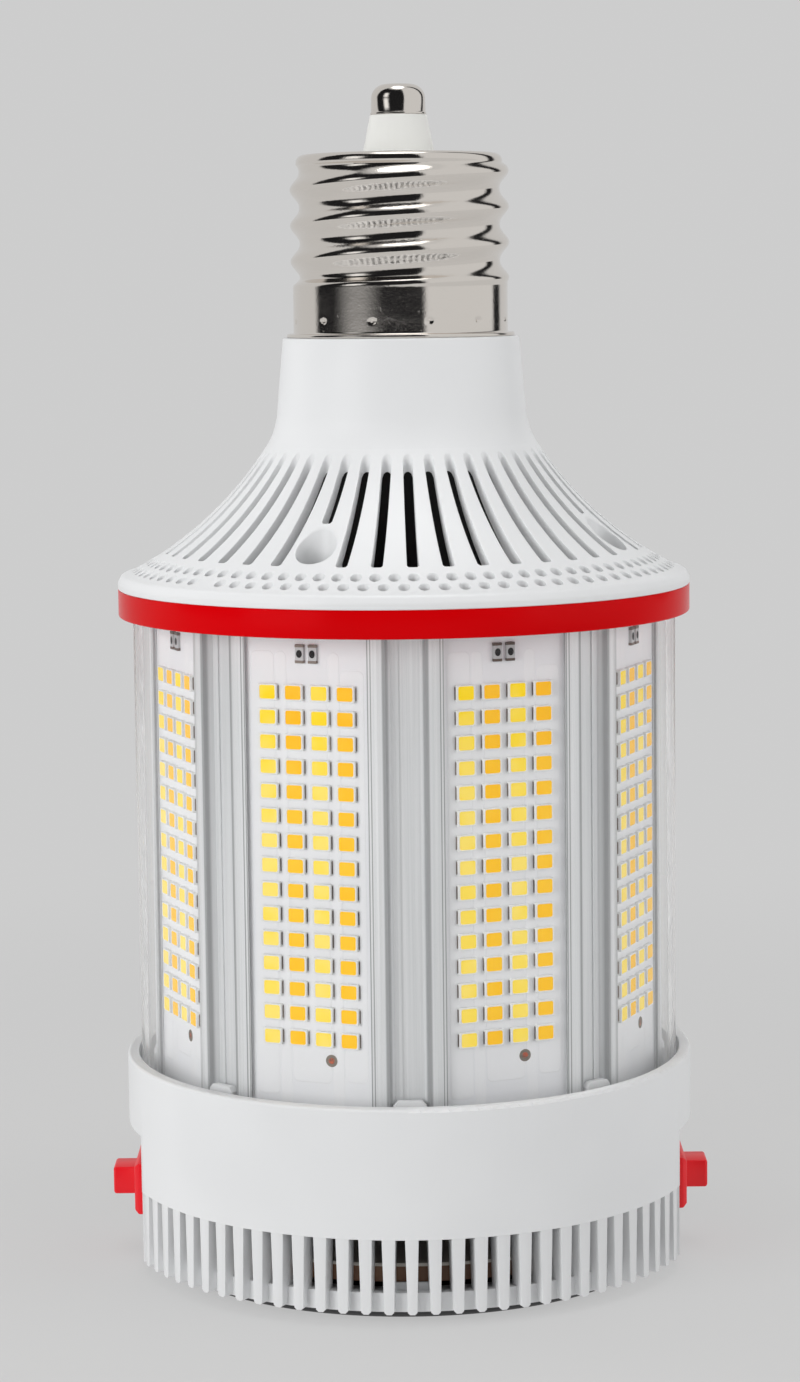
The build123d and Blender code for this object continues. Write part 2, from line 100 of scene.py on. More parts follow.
# %% Node helpers
def wire(tree, kind, *inputs, out=0, **settings):
    """Add a node, plug numbers or sockets into its inputs in order, and return one output."""
    node = tree.nodes.new(kind)
    for key, value in settings.items():
        setattr(node, key, value)
    for socket, value in zip(node.inputs, inputs):
        if isinstance(value, bpy.types.NodeSocket):
            tree.links.new(value, socket)
        elif value is not None:
            socket.default_value = value
    return node.outputs[out]


def calc(tree, operation, *values):
    """Arithmetic on numbers or sockets."""
    return wire(tree, "ShaderNodeMath", *values, operation=operation)


def ease(tree, value, start, end, first=0.0, last=1.0):
    """Smooth step from one value to another while the input runs from start to end."""
    return wire(tree, "ShaderNodeMapRange", value, start, end, first, last, interpolation_type="SMOOTHSTEP")


def blend_colors(tree, factor, first, second):
    """Mix of two colours by a factor."""
    node = tree.nodes.new("ShaderNodeMix")
    node.data_type = "RGBA"
    for name, value in (("Factor_Float", factor), ("A_Color", first), ("B_Color", second)):
        socket = next(one for one in node.inputs if one.identifier == name)
        if isinstance(value, bpy.types.NodeSocket):
            tree.links.new(value, socket)
        else:
            socket.default_value = value
    return next(one for one in node.outputs if one.identifier == "Result_Color")


def new_group(name, kind, inputs, outputs):
    """Empty node group with named sockets, and its input and output nodes."""
    group = bpy.data.node_groups.new(name, kind)
    for label, socket_type, value in inputs:
        socket = group.interface.new_socket(label, in_out="INPUT", socket_type=socket_type)
        if value is not None:
            socket.default_value = value
    for label, socket_type in outputs:
        group.interface.new_socket(label, in_out="OUTPUT", socket_type=socket_type)
    return group, group.nodes.new("NodeGroupInput").outputs, group.nodes.new("NodeGroupOutput").inputs


print("helpers ready")

# %% [markdown]
# ## Shared surface effects
# Three effects are used by several finishes. Moulded plastic has a slow drift of tone and gloss
# and a very fine grain. Extruded and drawn metal has streaks along the way it was pulled. Plated
# and clear parts carry faint smears from handling. Each is a group that only puts out colours,
# values and heights, so the shader itself stays in the material.


# %% Places and noise
def noise(tree, vector, scale, detail=3.0, rough=0.55):
    """Noise value at a scale given in cycles a metre."""
    return wire(tree, "ShaderNodeTexNoise", vector, None, scale, detail, rough)


def object_place(tree, scale=(1, 1, 1)):
    """Object coordinates, stretched by a scale."""
    place = wire(tree, "ShaderNodeTexCoord", out=3)
    return wire(tree, "ShaderNodeMapping", place, None, None, scale)


FLOAT, COLOR = "NodeSocketFloat", "NodeSocketColor"
pale, dim = (1, 1, 1, 1), (0.8, 0.8, 0.8, 1)
surface_inputs = [("Tint", COLOR, pale), ("Shade", COLOR, dim), ("Gloss", FLOAT, 0.3)]
surface_outputs = [("Color", COLOR), ("Roughness", FLOAT), ("Height", FLOAT)]
print("surface values:", [label for label, _ in surface_outputs])

# %% Moulded skin
skin, took, gave = new_group("moulded_skin", "ShaderNodeTree", surface_inputs, surface_outputs)
drift = noise(skin, object_place(skin), 28.0, 2.0)
grain = noise(skin, object_place(skin), 2600.0, 2.0)
toned = blend_colors(skin, ease(skin, drift, 0.35, 0.75), took["Tint"], took["Shade"])
skin.links.new(toned, gave["Color"])
uneven = calc(skin, "MULTIPLY_ADD", drift, 0.10, took["Gloss"])
skin.links.new(calc(skin, "MULTIPLY_ADD", grain, 0.06, uneven), gave["Roughness"])
skin.links.new(grain, gave["Height"])
print(skin.name, len(skin.nodes), "nodes")

# %% Drawn streaks
streak, took, gave = new_group("drawn_streaks", "ShaderNodeTree", surface_inputs, surface_outputs)
lines = noise(streak, object_place(streak, (1, 1, 0.006)), 1900.0, 4.0, 0.65)
cloud = noise(streak, object_place(streak, (1, 1, 0.2)), 60.0, 2.0)
tone = calc(streak, "MULTIPLY_ADD", cloud, 0.35, calc(streak, "MULTIPLY", lines, 0.65))
toned = blend_colors(streak, ease(streak, tone, 0.3, 0.7), took["Tint"], took["Shade"])
streak.links.new(toned, gave["Color"])
streak.links.new(calc(streak, "MULTIPLY_ADD", lines, 0.18, took["Gloss"]), gave["Roughness"])
streak.links.new(lines, gave["Height"])
print(streak.name, len(streak.nodes), "nodes")

# %% Handling smears
smear, took, gave = new_group(
    "handling_smears",
    "ShaderNodeTree",
    [("Gloss", FLOAT, 0.05), ("Strength", FLOAT, 0.1)],
    [("Roughness", FLOAT), ("Mask", FLOAT), ("Height", FLOAT)],
)
patch = ease(smear, noise(smear, object_place(smear, (1, 1, 2.2)), 55.0, 5.0, 0.6), 0.48, 0.72)
speck = ease(smear, noise(smear, object_place(smear), 1500.0, 2.0), 0.66, 0.76)
mark = calc(smear, "MAXIMUM", calc(smear, "MULTIPLY", patch, 0.6), speck)
smear.links.new(calc(smear, "MULTIPLY_ADD", mark, took["Strength"], took["Gloss"]), gave["Roughness"])
smear.links.new(mark, gave["Mask"])
waves = noise(smear, object_place(smear), 120.0, 3.0)
pitted = noise(smear, object_place(smear), 2200.0, 2.0)
smear.links.new(calc(smear, "MULTIPLY_ADD", pitted, 0.26, waves), gave["Height"])
print(smear.name, len(smear.nodes), "nodes")

# %% [markdown]
# ## Finishes
# A finish could be wired by hand each time, but most differ only in colour, gloss and relief. One
# helper places a shared group in a new material and links it to the Principled shader, and a finish
# with marks of its own passes a function that changes the colour on the way.


# %% Finishes from the groups
def srgb(red, green, blue):
    """Colour written as it looks on screen, 0 to 255, turned into linear light."""
    return tuple((part / 255) ** 2.2 for part in (red, green, blue)) + (1.0,)


def new_finish(name, **constants):
    """Material with a Principled shader whose constant values are set on its own sockets."""
    finish = bpy.data.materials.new(name)
    finish.use_nodes = True
    shader = finish.node_tree.nodes["Principled BSDF"]
    for label, value in constants.items():
        shader.inputs[label.replace("_", " ")].default_value = value
    return finish, finish.node_tree, shader


def use_group(tree, group, **values):
    """Place an effect group in a material and set its inputs."""
    node = tree.nodes.new("ShaderNodeGroup")
    node.node_tree = group
    for label, value in values.items():
        node.inputs[label].default_value = value
    return node.outputs


def add_bump(tree, shader, height, distance, strength=0.3):
    """Fine relief of a surface, given in millimetres."""
    normal = wire(tree, "ShaderNodeBump")
    bump = normal.node
    bump.inputs["Strength"].default_value = strength
    bump.inputs["Distance"].default_value = distance * MM
    tree.links.new(height, bump.inputs["Height"])
    tree.links.new(normal, shader.inputs["Normal"])


def grained(name, group, tint, shade, gloss, relief, recolor=None, **constants):
    """Finish that takes its colour, gloss and relief from a shared group, with its own marks if any."""
    finish, tree, shader = new_finish(name, **constants)
    effect = use_group(tree, group, Tint=tint, Shade=shade, Gloss=gloss)
    color = recolor(tree, effect["Color"]) if recolor else effect["Color"]
    tree.links.new(color, shader.inputs["Base Color"])
    tree.links.new(effect["Roughness"], shader.inputs["Roughness"])
    add_bump(tree, shader, effect["Height"], relief)
    return finish


white_plastic = grained("white_plastic", skin, srgb(233, 234, 235), srgb(228, 229, 230), 0.26, 0.004)
insulator_white = grained("insulator_white", skin, srgb(236, 236, 232), srgb(226, 226, 222), 0.42, 0.006)
red_plastic = grained(
    "red_plastic", skin, srgb(214, 0, 16), srgb(204, 0, 13), 0.12, 0.002, Specular_IOR_Level=0.05
)
red_selector = grained("red_selector", skin, srgb(236, 14, 34), srgb(228, 10, 28), 0.3, 0.004)
plate_dark = grained("plate_dark", skin, srgb(62, 62, 63), srgb(50, 50, 51), 0.45, 0.02)
switch_black = grained("switch_black", skin, srgb(30, 30, 31), srgb(22, 22, 23), 0.4, 0.01)
# The sleeve's near-black is painted shade for the closed interior seen through the slots.
sleeve_film = grained("sleeve_film", skin, srgb(24, 24, 25), srgb(14, 14, 15), 0.3, 0.01)
circuit_board = grained("circuit_board", skin, srgb(112, 84, 66), srgb(88, 64, 50), 0.5, 0.01)
screw_steel = grained(
    "screw_steel", streak, srgb(196, 196, 194), srgb(160, 160, 158), 0.22, 0.003, Metallic=1.0
)
print("finishes:", len(bpy.data.materials))

# %% [markdown]
# ## Turned pieces
# Much of the lamp is round, so most pieces start as a section drawn in radius and level and turned
# about the axis. A helper rounds the corners of a section, because every moulded or spun edge has
# a small radius that catches the light.

# %% Section and turning helpers
# Pieces that meet the housing have eight steps for each of its 44 slots.
turn_steps = 44 * 8
ring_steps, small_steps = 256, 96


def rounded(corners, steps=5, closed=True):
    """Section through (radius, level, rounding) corners, with an arc in place of each rounded one."""
    points = []
    for number, (radius, level, rounding) in enumerate(corners):
        here = Vector((radius, level))
        ends = number in (0, len(corners) - 1) and not closed
        if not rounding or ends:
            points.append(here)
            continue
        back = (Vector(corners[number - 1][:2]) - here).normalized()
        ahead = (Vector(corners[(number + 1) % len(corners)][:2]) - here).normalized()
        half = back.angle(ahead) / 2
        center = here + (back + ahead).normalized() * (rounding / sin(half))
        first = here + back * (rounding / tan(half)) - center
        last = here + ahead * (rounding / tan(half)) - center
        turn = first.angle_signed(last)
        for step in range(steps + 1):
            points.append(center + first.copy() @ Matrix.Rotation(turn * step / steps, 2))
    return points


def turned(section, steps=turn_steps, closed=True):
    """Vertices and faces of a section turned about the lamp's axis, with poles on the axis closed."""
    vertices, rings, faces = [], [], []
    for radius, level in section:
        start = len(vertices)
        if radius < 1e-6:
            vertices.append((0, 0, level))
            rings.append([start] * steps)
            continue
        for step in range(steps):
            angle = 2 * pi * step / steps
            vertices.append((radius * cos(angle), radius * sin(angle), level))
        rings.append(list(range(start, start + steps)))
    pairs = list(zip(rings, rings[1:] + rings[:1])) if closed else list(zip(rings, rings[1:]))
    for low, high in pairs:
        for step in range(steps):
            after = (step + 1) % steps
            face = list(dict.fromkeys((low[step], low[after], high[after], high[step])))
            if len(face) > 2:
                faces.append(face)
    return vertices, faces


print("steps in a turn:", turn_steps, ring_steps, small_steps)


# %% Meshes and pieces
def new_mesh(name, vertices, faces):
    """Mesh in metres from vertices in millimetres, with merged doubles and outward faces."""
    mesh = bpy.data.meshes.new(name)
    mesh.from_pydata([Vector(vertex) * MM for vertex in vertices], [], faces)
    clean(mesh)
    return mesh


def clean(mesh, merge=0.002):
    """Merge doubles and turn every face outwards."""
    shape = bmesh.new()
    shape.from_mesh(mesh)
    bmesh.ops.remove_doubles(shape, verts=shape.verts, dist=merge * MM)
    bmesh.ops.recalc_face_normals(shape, faces=shape.faces)
    shape.to_mesh(mesh)
    shape.free()


def shade(mesh, sharp_angle=38):
    """Smooth shading with sharp edges kept where faces meet at more than an angle."""
    mesh.shade_smooth()
    mesh.set_sharp_from_angle(angle=radians(sharp_angle))


def show(name, mesh, finish, replaced=(), body=LAMP):
    """Put a finished mesh in the scene as a piece that rides on a body."""
    mesh.materials.clear()
    mesh.materials.append(finish)
    mesh.name = name
    piece = bpy.data.objects.new(name, mesh)
    scene.collection.objects.link(piece)
    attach(piece, body)
    if replaced:
        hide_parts(*replaced)
    print(name, len(mesh.polygons), "faces")


print("pieces ride on", LAMP, "unless they move")

# %% [markdown]
# ## Repeating with Geometry Nodes
# Slots, light packages, links, marks and screws repeat round the axis, and some also climb a board
# in rows. One tree does both: it sets a unit on a ladder of rows, sets the ladder on columns, and
# turns the result round the lamp. The copies are realised so that the mesh is complete.


# %% Pattern tree
def build_pattern():
    """Geometry tree that repeats its input up rows, across columns and round the lamp."""
    whole, place = "NodeSocketInt", "NodeSocketFloat"
    tree, took, gave = new_group(
        "lamp_pattern",
        "GeometryNodeTree",
        [
            ("Unit", "NodeSocketGeometry", None),
            ("Rows", whole, 1),
            ("Row Pitch", place, 0.0),
            ("Columns", whole, 1),
            ("Column Pitch", place, 0.0),
            ("Turns", whole, 1),
            ("Turn Step", place, 0.0),
            ("Finish", "NodeSocketMaterial", None),
        ],
        [("Geometry", "NodeSocketGeometry")],
    )
    up = wire(tree, "ShaderNodeCombineXYZ", None, None, took["Row Pitch"])
    across = wire(tree, "ShaderNodeCombineXYZ", took["Column Pitch"])
    rows = wire(tree, "GeometryNodeMeshLine", took["Rows"])
    tree.links.new(up, rows.node.inputs["Offset"])
    columns = wire(tree, "GeometryNodeMeshLine", took["Columns"])
    tree.links.new(across, columns.node.inputs["Offset"])
    ladder = wire(tree, "GeometryNodeInstanceOnPoints", rows, None, took["Unit"])
    field = wire(tree, "GeometryNodeInstanceOnPoints", columns, None, ladder)
    hubs = wire(tree, "GeometryNodeMeshLine", took["Turns"])
    hubs.node.inputs["Offset"].default_value = (0, 0, 0)
    turn = calc(tree, "MULTIPLY", wire(tree, "GeometryNodeInputIndex"), took["Turn Step"])
    spin = wire(tree, "ShaderNodeCombineXYZ", None, None, turn)
    ring = wire(tree, "GeometryNodeInstanceOnPoints", hubs, None, field)
    tree.links.new(spin, ring.node.inputs["Rotation"])
    solid = wire(tree, "GeometryNodeRealizeInstances", ring)
    merged = wire(tree, "GeometryNodeMergeByDistance", solid)
    merged.node.inputs["Distance"].default_value = 0.002 * MM
    finished = wire(tree, "GeometryNodeSetMaterial", merged, None, took["Finish"])
    tree.links.new(finished, gave["Geometry"])
    return tree


pattern_tree = build_pattern()
print("pattern nodes:", len(pattern_tree.nodes))


# %% Using a tree
def evaluated(carrier):
    """Plain mesh of an object with its modifiers applied, and the carrier removed."""
    scene.collection.objects.link(carrier)
    bpy.context.view_layer.update()
    ready = carrier.evaluated_get(bpy.context.evaluated_depsgraph_get())
    mesh = bpy.data.meshes.new_from_object(ready)
    bpy.data.objects.remove(carrier)
    return mesh


def inputs_of(tree):
    """Input sockets of a node group."""
    return [item for item in tree.interface.items_tree if item.in_out == "INPUT"]


def with_tree(carrier, tree, **values):
    """Add a geometry tree to an object and set its named inputs by their identifiers."""
    modifier = carrier.modifiers.new(tree.name, "NODES")
    modifier.node_group = tree
    for socket in inputs_of(tree):
        key = socket.name.replace(" ", "_")
        if key in values:
            modifier[socket.identifier] = values[key]
    return carrier


def repeated(unit, finish, **values):
    """Plain mesh of a unit repeated by the pattern tree."""
    carrier = bpy.data.objects.new("carrier", unit)
    return evaluated(with_tree(carrier, pattern_tree, Finish=finish, **values))


print("pattern inputs:", [socket.name for socket in inputs_of(pattern_tree)])

# %% [markdown]
# ## Screw base
# The shell is thin plated metal with a thread rolled into it. The thread is a wave that climbs one
# pitch a turn, so a flat grid is rolled into a tube and its radius follows that wave. The wave fades
# out into the plain skirt below and the shoulder above. Twelve small dimples stake the skirt on.

# %% Sizes of the screw base
shell_low, shell_high = span("screw_shell")
flange_radius = shell_high.x
shell_foot = shell_low.z
shell_roof = shell_high.z
thread_pitch = 6.35
thread_crest = 19.6
thread_root = 17.95
skirt_radius = 19.25
shoulder_radius = 18.45
flange_rise = 0.7
wall_foot = shell_foot + 1.2
wall_head = shell_roof - 1.5
crest_level = 190.5
thread_start = shell_foot + 8.9
thread_run_in = 1.8
thread_end = shell_roof - 2.2
dimple_level = shell_foot + 2.9
dimple_count = 12
dimple_radius = 0.62
dimple_depth = 0.42
print("thread depth", round(thread_crest - thread_root, 2), "mm")


# %% Thread tree
def build_thread():
    """Geometry tree that rolls a grid into the threaded wall and joins the turned ends to it."""
    number = "NodeSocketFloat"
    tree, took, gave = new_group(
        "rolled_thread",
        "GeometryNodeTree",
        [
            ("Ends", "NodeSocketGeometry", None),
            ("Steps", "NodeSocketInt", turn_steps),
            ("Rings", "NodeSocketInt", 150),
            ("Pitch", number, thread_pitch),
            ("Crest", number, thread_crest),
            ("Root", number, thread_root),
            ("Sharpness", number, 1.2),
            ("Foot", number, wall_foot),
            ("Head", number, wall_head),
            ("Finish", "NodeSocketMaterial", None),
        ],
        [("Geometry", "NodeSocketGeometry")],
    )
    grid = wire(tree, "GeometryNodeMeshGrid", 1.0, 1.0, calc(tree, "ADD", took["Steps"], 1), took["Rings"])
    spot = wire(tree, "ShaderNodeSeparateXYZ", wire(tree, "GeometryNodeInputPosition")).node.outputs
    angle = calc(tree, "MULTIPLY", calc(tree, "ADD", spot["X"], 0.5), 2 * pi)
    rise = calc(tree, "SUBTRACT", took["Head"], took["Foot"])
    level = calc(tree, "MULTIPLY_ADD", calc(tree, "ADD", spot["Y"], 0.5), rise, took["Foot"])
    climb = calc(tree, "DIVIDE", calc(tree, "SUBTRACT", level, crest_level), took["Pitch"])
    wave = calc(tree, "COSINE", calc(tree, "SUBTRACT", calc(tree, "MULTIPLY", climb, 2 * pi), angle))
    # Slightly less than a half keeps the base of the power above zero.
    wave = calc(tree, "POWER", calc(tree, "MULTIPLY_ADD", wave, 0.4999, 0.5), took["Sharpness"])
    wave = calc(tree, "MULTIPLY_ADD", wave, 2.0, -1.0)
    begun = ease(tree, level, thread_start, thread_start + thread_run_in)
    ending = ease(tree, level, thread_end, wall_head, 1.0, 0.0)
    middle = calc(tree, "MULTIPLY", calc(tree, "ADD", took["Crest"], took["Root"]), 0.5)
    swing = calc(tree, "MULTIPLY", calc(tree, "SUBTRACT", took["Crest"], took["Root"]), 0.5)
    swing = calc(tree, "MULTIPLY", swing, calc(tree, "MULTIPLY", begun, ending))
    lower = calc(tree, "MULTIPLY_ADD", begun, calc(tree, "SUBTRACT", middle, skirt_radius), skirt_radius)
    fall = calc(tree, "SUBTRACT", 1.0, ending)
    base = calc(tree, "MULTIPLY_ADD", fall, calc(tree, "SUBTRACT", shoulder_radius, lower), lower)
    radius = calc(tree, "MULTIPLY_ADD", wave, swing, base)
    step = 2 * pi / dimple_count
    along = calc(tree, "PINGPONG", angle, step / 2)
    along = calc(tree, "MULTIPLY", calc(tree, "SUBTRACT", step / 2, along), skirt_radius)
    above = calc(tree, "SUBTRACT", level, dimple_level)
    squares = [calc(tree, "POWER", side, 2.0) for side in (along, above)]
    away = calc(tree, "SQRT", calc(tree, "ADD", *squares))
    radius = calc(tree, "SUBTRACT", radius, ease(tree, away, 0.0, dimple_radius, dimple_depth, 0.0))
    east = calc(tree, "MULTIPLY", radius, calc(tree, "COSINE", angle))
    north = calc(tree, "MULTIPLY", radius, calc(tree, "SINE", angle))
    place = wire(tree, "ShaderNodeCombineXYZ", east, north, level)
    metres = wire(tree, "ShaderNodeVectorMath", place, operation="SCALE")
    metres.node.inputs["Scale"].default_value = MM
    tube = wire(tree, "GeometryNodeSetPosition", grid, None, metres)
    both = wire(tree, "GeometryNodeJoinGeometry", tube)
    tree.links.new(took["Ends"], both.node.inputs[0])
    sealed = wire(tree, "GeometryNodeMergeByDistance", both)
    sealed.node.inputs["Distance"].default_value = 0.005 * MM
    finished = wire(tree, "GeometryNodeSetMaterial", sealed, None, took["Finish"])
    tree.links.new(finished, gave["Geometry"])
    return tree


thread_tree = build_thread()
print("thread nodes:", len(thread_tree.nodes))

# %% Plated finish and shell
nickel, tree, shader = new_finish("nickel_plate", Metallic=1.0, Base_Color=srgb(232, 226, 219))
marks = use_group(tree, smear, Gloss=0.09, Strength=0.14)
tree.links.new(marks["Roughness"], shader.inputs["Roughness"])
add_bump(tree, shader, marks["Height"], 0.03, 1.0)

roof_hole = 9.5
shell_wall = 0.6
inner_radius = thread_root - shell_wall
ends = rounded(
    [
        (skirt_radius, wall_foot, 0),
        (skirt_radius, shell_foot + flange_rise, 0.35),
        (flange_radius, shell_foot + flange_rise, 0.3),
        (flange_radius, shell_foot, 0.2),
        (inner_radius, shell_foot, 0),
        (inner_radius, shell_roof - shell_wall, 0),
        (roof_hole, shell_roof - shell_wall, 0),
        (roof_hole, shell_roof - 0.2, 0.1),
        (shoulder_radius, shell_roof, 1.3),
        (shoulder_radius, wall_head, 0),
    ],
    closed=False,
)
carrier = bpy.data.objects.new("carrier", new_mesh("shell_ends", *turned(ends, closed=False)))
shell_mesh = evaluated(with_tree(carrier, thread_tree, Finish=nickel))
clean(shell_mesh, merge=0.01)
shade(shell_mesh)
show("screw_base_shell", shell_mesh, nickel, ["screw_shell"])

# %% [markdown]
# ## Nose and centre contact
# A white insulating cone carries the centre contact, a small bright dome with straight sides. Both
# are turned, the dome with a generous rounding at its shoulder.

# %% Nose and contact
nose_low, nose_high = span("contact_insulator")
contact_low, contact_high = span("center_contact")
contact_radius = contact_high.x
nose_foot_radius = 6.45
nose_tip_radius = contact_radius + 0.15
nose_flange = roof_hole + 1.2
nose_collar = roof_hole - 0.1
nose = rounded(
    [
        (0, nose_low.z, 0),
        (nose_flange, nose_low.z, 0),
        (nose_flange, shell_roof - shell_wall, 0),
        (nose_collar, shell_roof - shell_wall, 0),
        (nose_collar, shell_roof - 0.3, 0.15),
        (nose_foot_radius, shell_roof - 0.1, 0.4),
        (nose_tip_radius, nose_high.z, 0.25),
        (0, nose_high.z, 0),
    ]
)
nose_mesh = new_mesh("nose", *turned(nose, small_steps))
shade(nose_mesh)
show("insulating_nose", nose_mesh, insulator_white, ["contact_insulator"])

foot_lip, foot_rise = 0.12, 0.35
dome_drop, dome_rounding = 0.35, 2.6
dome = rounded(
    [
        (0, contact_low.z, 0),
        (contact_radius + foot_lip, contact_low.z, 0.12),
        (contact_radius + foot_lip, contact_low.z + foot_rise, 0.15),
        (contact_radius, contact_low.z + foot_rise + 0.15, 0),
        (contact_radius - 0.12, contact_high.z - dome_drop, dome_rounding),
        (0, contact_high.z, 0),
    ],
    steps=12,
)
dome_mesh = new_mesh("dome", *turned(dome, small_steps))
shade(dome_mesh, 60)
show("center_contact_dome", dome_mesh, nickel, ["center_contact"])

# %% [markdown]
# ## Neck housing
# The white housing is one moulding: a neck that flares out to a rolled rim, with 44 air slots, four
# screw pockets and two rows of small holes. Cutting all of that with booleans would leave ragged
# edges, so the flare is laid out in cells instead. Each cell has one opening, and rings of faces
# lead from the cell's border to the opening, round its edge, down its wall and back along the
# underside. A quarter of the flare is built cell by cell and the pattern tree makes three of it. The
# fourth is built again with one hole closed.

# %% Sizes of the housing
housing_low, housing_high = span("neck_housing")
rim_bottom = housing_low.z
body_radius = housing_high.x
rim_top = rim_bottom + 2.4
rim_rounding = 1.4
neck_foot = rim_bottom + 28.0
neck_top = shell_foot
neck_foot_radius = 22.7
neck_top_radius = 21.2
flare_sag = 2.75
slot_turns = 44
slot_pitch = 360 / slot_turns
slot_start, slot_end = 24.8, 43.0
slot_narrow, slot_wide = 1.65, 2.0
slot_round = 0.8
band_start, band_slots, band_rows, band_end = 24.2, 43.8, 46.75, 49.3
hole_radius = 0.99
hole_rings = (45.45, 47.95)
pocket_radius = 3.5
pocket_ring = 38.8
pocket_floor = rim_bottom + 3.0
boss_radius = 4.4
first_slot = -22.5
slot_edge, pocket_edge, hole_edge = 0.15, 0.3, 0.1
flare_thick, band_thinner = 3.1, 0.5
boss_floor = 1.2
pocket_split = 34.8
pocket_bridge = 0.35
pocket_swing = 1.28
print("slots:", slot_turns, "each", slot_narrow, "to", slot_wide, "mm wide")

# %% Curve of the flare
flare_run = body_radius - rim_rounding - neck_foot_radius
flare_rise = neck_foot - rim_top
half_chord = hypot(flare_run, flare_rise) / 2
arc_radius = (half_chord**2 + flare_sag**2) / (2 * flare_sag)
arc_share = (arc_radius - flare_sag) / (2 * half_chord)
arc_center = Vector(
    (
        neck_foot_radius + flare_run / 2 + flare_rise * arc_share,
        rim_top + flare_rise / 2 + flare_run * arc_share,
    )
)


def flare_level(radius):
    """Level of the flare's outside at a radius."""
    return arc_center.y - sqrt(arc_radius**2 - (radius - arc_center.x) ** 2)


def flare_wall(radius):
    """Upright thickness of the flare, less under the two rows of holes."""
    share = min(max((radius - band_slots) / (band_rows - band_slots), 0), 1)
    return flare_thick - band_thinner * share


def on_flare(azimuth, radius, sink=0.0):
    """Point on the flare, or below it by a distance. Azimuth 0 is the front and grows to the right."""
    angle = radians(azimuth)
    return (radius * sin(angle), -radius * cos(angle), flare_level(radius) - sink)


print("flare arc radius", round(arc_radius, 1))


# %% Cells of the flare
class Sheet:
    """Vertices and faces of the flare while its cells are laid. Loops are (azimuth, radius) points."""

    def __init__(self):
        self.vertices, self.faces = [], []

    def loop(self, points):
        """Add a loop of points and return their numbers."""
        start = len(self.vertices)
        self.vertices += points
        return list(range(start, start + len(points)))

    def upper(self, loop):
        """Loop on the flare's outside."""
        return self.loop([on_flare(*spot) for spot in loop])

    def under(self, loop):
        """Loop on the flare's underside."""
        return self.loop([on_flare(*spot, flare_wall(spot[1])) for spot in loop])

    def flat(self, loop, level):
        """Loop below the flare's outside, all at one level."""
        return self.loop([(*on_flare(*spot)[:2], level) for spot in loop])

    def bridge(self, rings):
        """Faces between each ring and the next."""
        for first, second in zip(rings, rings[1:]):
            for here in range(len(first)):
                after = (here + 1) % len(first)
                self.faces.append((first[here], first[after], second[after], second[here]))

    def cell(self, border, opening, edge, spine=0.0, floor=None):
        """Rings from a border to an opening, round its edge, and through the wall or down to a floor."""
        center = tuple(sum(spot[axis] for spot in opening) / len(opening) for axis in (0, 1))

        def ring(offset, sink):
            return self.loop([on_flare(*grown(spot, center, offset, spine), sink) for spot in opening])

        rings = [self.upper(border), ring(edge * 1.6, 0), ring(edge, 0)]
        rings += [ring(edge * 0.3, edge * 0.3), ring(0, edge)]
        if floor is None:
            self.bridge(rings + [self.under(opening), self.under(border)])
            return
        outer = [grown(spot, center, boss_radius - pocket_radius, spine) for spot in opening]
        rings.append(self.flat(opening, floor))
        boss = [self.under(border), self.under(outer), self.flat(outer, floor - boss_floor)]
        self.bridge(rings)
        self.bridge(boss)
        self.faces += [rings[-1], boss[-1]]


def grown(spot, center, offset, spine):
    """Move a point of an opening away from its spine, given by half its length, by a distance."""
    azimuth, radius = spot
    along = radians(azimuth - center[0]) * radius
    reach = radius - center[1]
    half = max(abs(reach) - spine, 0) * (1 if reach > 0 else -1)
    length = hypot(along, half) or 1.0
    along += offset * along / length
    radius += offset * half / length
    return (center[0] + degrees(along / radius), radius)


print("edges are rounded by", slot_edge, "to", pocket_edge, "mm")

# %% [markdown]
# ### Borders and outlines
# A border and its opening are two loops with the same number of points, so that faces join them one
# to one and no edge is ragged. The borders beside a screw pocket swing out to leave room for it.

# %% Borders and outlines
end_steps, side_steps, upper_steps = 8, 16, 8


def side_radius(step):
    """Radii of the border points along the side of a slot cell, with one just above the pocket."""
    if step <= upper_steps:
        return band_start + (pocket_split - band_start) * step / upper_steps
    return pocket_split + (band_slots - pocket_split) * (step - upper_steps) / (side_steps - upper_steps)


def bulge(radius):
    """How far the border beside a pocket swings out to leave room for it, in degrees."""
    reach = min(abs(radius - pocket_ring) / (band_slots - pocket_ring), 1)
    return degrees(pocket_swing * cos(pi / 2 * reach) ** 2 / radius)


def border_of(low, high, first, last, left_swing, right_swing, ends=end_steps):
    """Border of a cell between two azimuths, from side step first to last."""
    sides = [side_radius(step) for step in range(first, last + 1)]

    def left(radius):
        return low + left_swing * bulge(radius)

    def right(radius):
        return high + right_swing * bulge(radius)

    across = [step / ends for step in range(1, ends)]
    inner, outer = sides[0], sides[-1]
    loop = [(left(radius), radius) for radius in reversed(sides)]
    loop += [(left(inner) + (right(inner) - left(inner)) * share, inner) for share in across]
    loop += [(right(radius), radius) for radius in sides]
    loop += [(right(outer) + (left(outer) - right(outer)) * share, outer) for share in across]
    return loop


